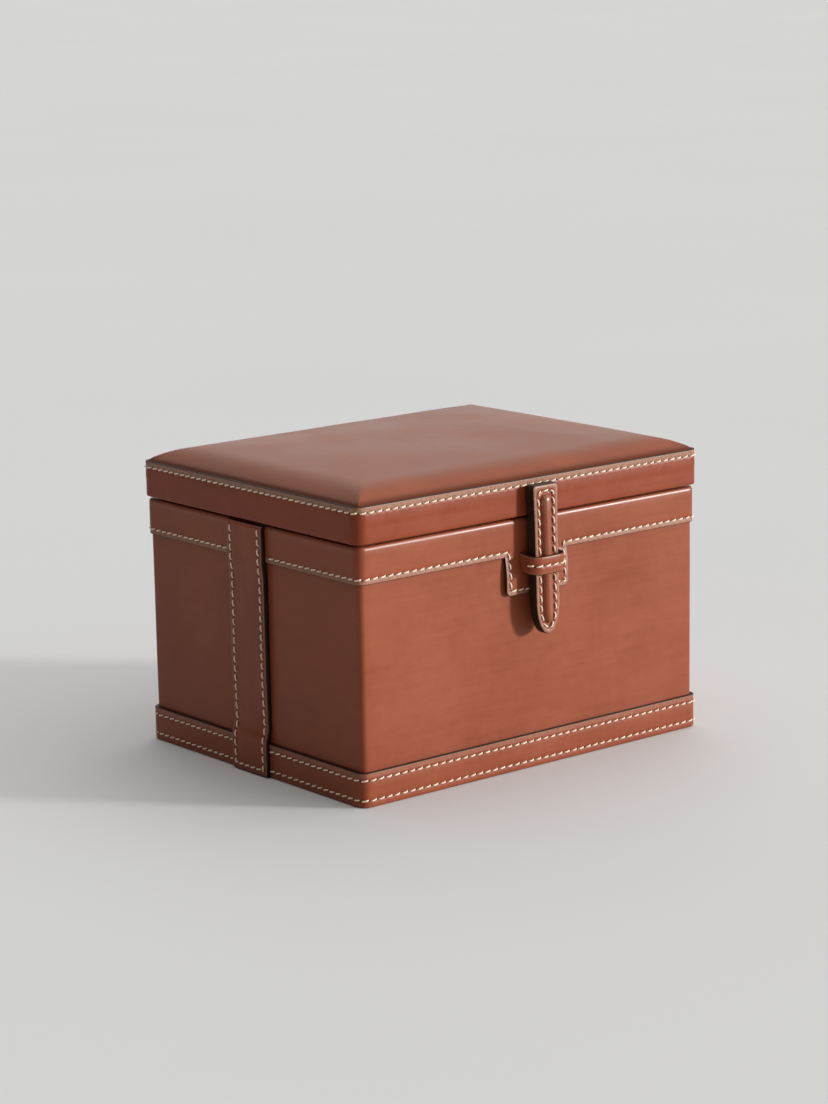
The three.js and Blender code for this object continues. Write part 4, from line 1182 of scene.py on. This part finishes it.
def strap_section():
    """Loops from the back over the edge and up the rib, as (inset, y, material)."""
    front, back = STRAP_FRONT_Y, STRAP_BACK_Y
    bead, crease = 0.7 * MM, 0.45 * MM
    loops = [(STRAP_HALF, back, 0), (2 * MM, back, 0), (0.35 * MM, back, 1), (0.1 * MM, back - 0.1 * MM, 1),
             (0, back - 0.4 * MM, 1), (0.05 * MM, back - 1.6 * MM, 1), (0.14 * MM, back - 1.75 * MM, 1),
             (0.04 * MM, back - 1.9 * MM, 1), (0, 0.5 * (front + back), 1), (0.04 * MM, front + 1.7 * MM, 1),
             (0.12 * MM, front + 1.55 * MM, 1), (0.02 * MM, front + 1.4 * MM, 1)]
    for a in (0, 30, 60, 90):
        angle = math.radians(a)
        y = front + bead * (1 - math.sin(angle))
        loops.append((bead * (1 - math.cos(angle)), y, 1 if a < 60 else 0))
    for k in range(1, 11):
        inset = bead + (RIB_FOOT - bead) * k / 11
        sunk = (crease + 0.15 * MM) * float(ease(inset, 2 * MM, RIB_FOOT))
        loops.append((inset, front - 0.15 * MM + sunk, 0))
    for a in range(0, 100, 10):
        angle = math.radians(a)
        inset = RIB_FOOT + (STRAP_HALF - RIB_FOOT) * (1 - math.cos(angle))
        loops.append((inset, front + crease - (RIB_HEIGHT + crease) * math.sin(angle), 0))
    return loops


def hung(points):
    """Points of the strap, moved from its resting plane to where it hangs."""
    move = np.zeros_like(points)
    move[:, 0] = LATCH_X
    move[:, 1] = -strap_lean(points[:, 2])
    return points + move


def build_latch_strap():
    """Backing, core and face as one strap with a raised rib, from the lid to its pointed tip."""
    outline = strap_outline()
    spine = strap_spine(outline)
    section = strap_section()
    count = len(outline)

    def loop_at(inset, y):
        xz = strap_loop(outline, spine, inset)
        return np.column_stack([xz[:, 0], np.full(count, y), xz[:, 1]])

    seam = Path(loop_at(STRAP_STITCH_INSET, STRAP_FRONT_Y), np.tile([0, -1, 0], (count, 1)), True)
    flat = np.vstack([loop_at(inset, y) for inset, y, _ in section])
    insets = np.repeat([inset for inset, _, _ in section], count)
    gap, along = distance_to_path(seam, flat)
    is_front = flat[:, 1] < STRAP_FRONT_Y + 0.3 * MM
    flat[:, 1] += np.where(is_front, 1.8 * seam_dip(gap, along, seam.fitted_pitch()), 0)
    on_rib = np.where(insets > RIB_FOOT, 1.0, 0.0)
    flat[:, 1] -= 0.10 * MM * on_rib * smooth_noise(flat, 16 * MM, 11)
    # Margins painted lighter: partly wear, partly painted sheen.
    wear_and_sheen = np.where(is_front, 0.85 * np.exp(-((insets - 1.1 * MM) / (1.3 * MM)) ** 2), 0)
    rib_end = ease(flat[:, 2], ROOT_HIGH.z - 16 * MM, ROOT_HIGH.z - 8 * MM)
    faces = grid_faces(len(section), count, False, True)[:, ::-1]
    kinds = np.repeat([m for _, _, m in section[:-1]], count)
    made = make_mesh("latch_strap_leather", hung(flat), faces, [STRAP_TAN, EDGE], kinds,
                     attributes={"wear_and_sheen": wear_and_sheen, "shine": on_rib * (0.6 + 3 * rib_end)})
    weld(made)
    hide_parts("latch_strap_root", "latch_strap_face", "latch_strap_core", "latch_strap_backing")
    seam.points = hung(seam.points)
    thread = stitch_row("latch_strap_thread", [seam])
    for piece in (made, thread):
        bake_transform(piece)


# ---- Lid top ----

def crown_height(x, y):
    """The padded top's height over its edge, from the distances to the two nearest sides."""
    rise, power = 24 * MM, 2.6
    full = TOP_HIGH.z - 0.9 * MM - CROWN_EDGE_Z
    dx = np.maximum(TOP_HIGH.x - np.abs(x), 0)
    dy = np.maximum(TOP_HIGH.y - np.abs(y), 0)
    soft = 5 * MM
    near = -soft * np.log(np.exp(-dx / soft) + np.exp(-dy / soft))
    near += soft * math.log(2) * np.exp(-np.abs(dx - dy) / soft)
    t = np.clip(near / rise, 0, 1)
    centre = 0.9 * MM * ease(np.minimum(dx, dy), rise * 0.7, 75 * MM)
    return full * (1 - (1 - t) ** power) + centre


def spread(half, step, edge_step):
    """Places from -half to half, close together near the two ends."""
    places = [0.0]
    while places[-1] < half:
        left = half - places[-1]
        places.append(places[-1] + max(edge_step, min(step, 0.16 * left)))
    places = np.array(places) * half / places[-1]
    return np.concatenate([-places[:0:-1], places])


def build_lid_top():
    """The padded lid top: one crowned leather sheet over foam, tucked inside the lid's rim."""
    half_x, half_y = TOP_HIGH.x, TOP_HIGH.y
    xs, ys = spread(half_x, 3 * MM, 0.5 * MM), spread(half_y, 3 * MM, 0.5 * MM)
    gx, gy = np.meshgrid(xs, ys, indexing="xy")
    corner = PANEL_CORNER + LID_OUT - LEATHER
    p = np.clip((np.abs(gx) - (half_x - corner)) / corner, 0, 1)
    q = np.clip((np.abs(gy) - (half_y - corner)) / corner, 0, 1)
    both = (p > 0) & (q > 0)
    x = np.where(both, np.sign(gx) * (half_x - corner + p * np.sqrt(1 - q ** 2 / 2) * corner), gx)
    y = np.where(both, np.sign(gy) * (half_y - corner + q * np.sqrt(1 - p ** 2 / 2) * corner), gy)
    z = CROWN_EDGE_Z + crown_height(gx, gy)
    flat = np.column_stack([x.ravel(), y.ravel(), z.ravel()])
    edge_gap = np.minimum(half_x - np.abs(gx), half_y - np.abs(gy)).ravel()
    flat[:, 2] += 0.35 * MM * smooth_noise(flat, 75 * MM, 5) * ease(edge_gap, 4 * MM, 30 * MM)
    rows, columns = gx.shape
    faces = [list(f) for f in grid_faces(rows, columns, False, False)]
    border = list(range(columns)) + [r * columns + columns - 1 for r in range(1, rows)]
    border += [(rows - 1) * columns + c for c in range(columns - 2, -1, -1)]
    border += [r * columns for r in range(rows - 2, 0, -1)]
    low = flat[border].copy()
    low[:, 2] = TOP_LOW.z
    total = len(flat)
    ring = list(range(total, total + len(border)))
    for k in range(len(border)):
        n = (k + 1) % len(border)
        faces.append([border[n], border[k], ring[k], ring[n]])
    faces.append(ring[::-1])
    vertices = np.vstack([flat, low])
    # Painted shade: darker, duller leather along the pad's foot, where the rim's lip shades it.
    painted_shade = np.concatenate([1 - ease(edge_gap, 0, 5.5 * MM), np.ones(len(low))])
    made = make_mesh("lid_top_padded_leather", vertices, faces, [PAD], attributes={"painted_shade": painted_shade})
    held = np.concatenate([np.nonzero(edge_gap < 2.5 * MM)[0], ring])
    inflate(made, held, cap=0.7 * MM, relax=40)
    attach(made, "lid", "pad_leather", "lid_top_leather", "lid_pad")


# ---- Inside ----

def cut_slab(work, low, size, step=6 * MM):
    """Cuts a block across each axis into slices of about one step."""
    for axis in range(3):
        count = int(size[axis] / step)
        unit = Vector([1.0 if a == axis else 0.0 for a in range(3)])
        for k in range(1, count + 1):
            place = unit * (low[axis] + size[axis] * k / (count + 1))
            whole = work.verts[:] + work.edges[:] + work.faces[:]
            bmesh.ops.bisect_plane(work, geom=whole, plane_co=place, plane_no=unit)


def soft_slab(name, node, body, slot, material, radius, puff=0.0, direction=1):
    """A wrapped slab the size of its CAD node, round-edged. puff fills its upper or lower face."""
    low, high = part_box(node)
    size = high - low
    made = make_mesh(name, [], [], [material])
    with edited(made) as work:
        bmesh.ops.create_cube(work, size=1.0)
        for v in work.verts:
            v.co = Vector([low[k] + (v.co[k] + 0.5) * size[k] for k in range(3)])
        bmesh.ops.bevel(work, geom=work.edges[:], offset=min(radius, 0.45 * min(size)), segments=3,
                        profile=0.5, affect="EDGES")
        cut_slab(work, low, size)
    co = read_points(made.data)
    centre = np.array((low + high) / 2)
    share = [np.clip(np.abs(co[:, a] - centre[a]) / (size[a] / 2), 0, 1) for a in (0, 1)]
    fullness = (1 - share[0] ** 3) * (1 - share[1] ** 3)
    fullness *= 0.85 + 0.15 * smooth_noise(co, 60 * MM, 17)
    co[:, 2] += puff * fullness * direction * ((co[:, 2] - centre[2]) * direction > 0)
    made.data.polygons.foreach_set("use_smooth", np.full(len(made.data.polygons), True))
    write_points(made.data, co)
    attach(made, body, slot, node)


def build_tray():
    for node in ("tray_front_wall", "tray_back_wall", "tray_left_wall", "tray_right_wall"):
        soft_slab(f"{node}_wrapped", node, "tray", "suede", SUEDE, 1.1 * MM)
    for node in ("tray_long_divider", "tray_cross_divider_left", "tray_cross_divider_right"):
        soft_slab(f"{node}_wrapped", node, "tray", "suede", SUEDE, 0.9 * MM)
    for side in ("left", "right"):
        build_pull_tab(side)
        soft_slab(f"tray_rest_{side}_wrapped", f"tray_rest_{side}", "case", "suede", SUEDE, 0.8 * MM)


def build_pull_tab(side):
    """A leather tab on the tray's end wall, stitched round its edge."""
    soft_slab(f"pull_tab_{side}_leather", f"pull_tab_{side}", "tray", "leather", STRAP_TAN, 0.8 * MM)
    low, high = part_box(f"pull_tab_{side}")
    face_x, inward = (high.x, 1) if side == "left" else (low.x, -1)
    inset = 2.1 * MM
    seam_y, top, foot = high.y - inset, high.z - inset, low.z + 4 * MM
    levels = np.arange(foot, top, 0.8 * MM)
    line = [(face_x, -seam_y, z) for z in levels]
    line += [(face_x, y, top) for y in np.linspace(-seam_y, seam_y, 20)]
    line += [(face_x, seam_y, z) for z in levels[::-1]]
    seam = Path(line, np.tile([inward, 0, 0], (len(line), 1)))
    sew(f"pull_tab_{side}_thread", [seam], "tray")


def build_ring_rolls():
    """Padded rolls with a domed top, pinched a little where their cover is gathered."""
    for node in sorted(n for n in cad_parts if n.startswith("ring_roll_")):
        low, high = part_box(node)
        half = (high.y - low.y) / 2
        middle_y = (high.y + low.y) / 2
        stations = np.linspace(low.x, high.x, 41)
        angle = np.linspace(0, math.pi, 15)
        top = high.z - half
        outline = [(-half, low.z + 1 * MM), (-half, 0.5 * (low.z + top))]
        outline += [(-half * math.cos(a), top + half * math.sin(a)) for a in angle]
        outline += [(half, 0.5 * (low.z + top)), (half, low.z + 1 * MM)]
        outline += [(half - 1 * MM, low.z), (1 * MM - half, low.z)]
        outline = np.array(outline)
        points = []
        for x in stations:
            end = min(x - low.x, high.x - x)
            pull = 1 - 0.22 * math.exp(-end / (2.2 * MM))
            centre = np.array([0, low.z])
            ring = centre + (outline - centre) * [pull, 1 - (1 - pull) * 0.7]
            points.append(np.column_stack([np.full(len(ring), x), middle_y + ring[:, 0], ring[:, 1]]))
        flat = np.array(points).reshape(-1, 3)
        lumps = smooth_noise(flat, 18 * MM, 21 + int(node[-1]))
        flat[:, 2] -= 0.35 * MM * (0.5 + 0.5 * lumps) * (flat[:, 2] > top)
        count = len(outline)
        faces = [list(f)[::-1] for f in grid_faces(len(stations), count, False, True)]
        faces.append(list(range(count)))
        faces.append([(len(stations) - 1) * count + k for k in range(count)][::-1])
        made = make_mesh(f"{node}_padded", flat, faces, [ROLL])
        held = (flat[:, 0] < low.x + 0.5 * MM) | (flat[:, 0] > high.x - 0.5 * MM)
        held |= flat[:, 2] < low.z + 3 * MM
        inflate(made, np.nonzero(held)[0], cap=0.5 * MM, relax=3)
        weld(made)
        attach(made, "tray", "ring_roll", node)


def lining_ring(name, node, body):
    """Suede on the inside of the walls, its top and bottom edges turned round."""
    low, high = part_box(node)
    outer = high.x - HALF_X
    inner = outer - LINING
    round_off = 0.45 * MM
    section = riser(outer, low.z, high.z - round_off, coarse=4 * MM)
    section += arc_points((outer - round_off, high.z - round_off), round_off, 0, 90, 3)
    section += arc_points((inner + round_off, high.z - round_off), round_off, 90, 180, 3)
    section += riser(inner, high.z - round_off, low.z + round_off, coarse=4 * MM)
    section += arc_points((inner + round_off, low.z + round_off), round_off, 180, 270, 3)
    section += arc_points((outer - round_off, low.z + round_off), round_off, 270, 360, 3)
    stations = plan_stations(6 * MM, corner_steps=4)
    made = leather_band(name, stations, with_material(section, 0), [SUEDE], [], 1.0)
    weld(made)
    attach(made, body, "suede", node)


def build_linings():
    soft_slab("lid_lining_top_padded", "lid_lining_top", "lid", "suede", SUEDE, 0.5 * MM, 0.9 * MM, -1)
    soft_slab("lining_floor_suede", "lining_floor", "case", "suede", SUEDE, 0.4 * MM, 0.4 * MM, 1)
    soft_slab("tray_base_suede", "tray_base", "tray", "suede", SUEDE, 0.9 * MM)
    soft_slab("base_cover_suede", "base_cover", "case", "underside", UNDERSIDE, 0.5 * MM)
    lining_ring("lining_wall_suede", "lining_wall", "case")
    lining_ring("lid_lining_wall_suede", "lid_lining_wall", "lid")


def finish_cad_nodes():
    """Gives the CAD nodes that stay in view their materials, and softens their edges."""
    for name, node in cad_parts.items():
        if name.startswith("hinge_"):
            material = BRASS
        elif name.endswith("_board"):
            material = BOARD
        else:
            material = SUEDE
        node.data.materials.clear()
        node.data.materials.append(material)
        if name.startswith("hinge_"):
            rounded = node.modifiers.new("rounded edges", "BEVEL")
            rounded.width = 0.12 * MM
            rounded.segments = 2
            rounded.limit_method = "ANGLE"
            rounded.angle_limit = math.radians(40)


# ---- Stage, light and camera ----

def build_floor():
    half = 40.0
    vertices = [(-half, -half, 0), (half, -half, 0), (half, half, 0), (-half, half, 0)]
    made = make_mesh("floor", vertices, [(0, 1, 2, 3)], [floor_material()])


KEY_STRENGTH = 3.65
OVERHEAD = 1.37
BACK_RIGHT = 0.92
FRONT_RIGHT = 0.70
SHADE = 0.03


def from_front(azimuth, elevation):
    """The direction to something that stands turned to the right of the front, and up. In degrees."""
    turn, lift = math.radians(azimuth), math.radians(elevation)
    flat = math.cos(lift)
    return Vector((math.sin(turn) * flat, -math.cos(turn) * flat, math.sin(lift)))


def studio_world():
    """A studio that is dark on the left: soft patches of light, each round one direction."""
    world = bpy.data.worlds.new("studio")
    world.use_nodes = True
    studio = Nodes(world.node_tree)
    seen = studio.node("ShaderNodeTexCoord").outputs["Generated"]
    patches = []
    for direction, power, strength in (((0.2, 0, 1), 3, OVERHEAD), ((0.6, 0.8, 0.1), 3, BACK_RIGHT),
                                       ((0.6, -0.75, 0.25), 3, FRONT_RIGHT), ((0, 0, 1), 0, SHADE)):
        dot = studio.node("ShaderNodeVectorMath", {0: seen}, operation="DOT_PRODUCT")
        dot.inputs[1].default_value = Vector(direction).normalized()
        facing = studio.math("MAXIMUM", dot.outputs["Value"], 0.0)
        patches.append((studio.math("POWER", facing, power), strength))
    background = studio.tree.nodes["Background"]
    feed(studio.tree, background.inputs["Strength"], studio.total(*patches))
    feed(studio.tree, background.inputs["Color"], (1.0, 0.983, 0.945))
    return world


def build_lights():
    """A low soft key from the front right, in a studio."""
    data = bpy.data.lights.new("key", "SUN")
    data.angle = math.radians(8)
    data.energy = KEY_STRENGTH
    data.color = (1.0, 0.985, 0.965)
    key = place_object("key", data)
    key.rotation_euler = (-from_front(43, 8)).to_track_quat("-Z", "Y").to_euler()
    scene = bpy.context.scene
    scene.world = studio_world()
    scene.view_settings.view_transform = "Standard"


def build_camera():
    """The photo's viewpoint, as fitted to its corners: left of the front, a little above."""
    ahead = -from_front(-39.19, 12.105)
    level = ahead.cross(Vector((0, 0, 1))).normalized()
    upright = level.cross(ahead)
    roll = math.radians(-1.047)
    right = level * math.cos(roll) + upright * math.sin(roll)
    up = upright * math.cos(roll) - level * math.sin(roll)
    distance, shift_right, shift_up = 1.7113, -5.1 * MM, 32.3 * MM
    target = Vector((0, 0, 70 * MM))
    place = target - ahead * distance + right * shift_right + up * shift_up
    data = bpy.data.cameras.new("camera")
    data.sensor_fit = "VERTICAL"
    data.sensor_height = 36
    data.lens = 100.22
    made = place_object("camera", data)
    rotation = Matrix((right, up, -ahead)).transposed()
    made.matrix_world = Matrix.Translation(place) @ rotation.to_4x4()
    bpy.context.scene.camera = made


finish_cad_nodes()
build_body_leather()
build_base_band()
build_lid_band()
build_collar()
build_side_strap(-1)
build_side_strap(1)
build_keeper()
build_latch_strap()
build_lid_top()
build_tray()
build_ring_rolls()
build_linings()
build_floor()
build_lights()
build_camera()
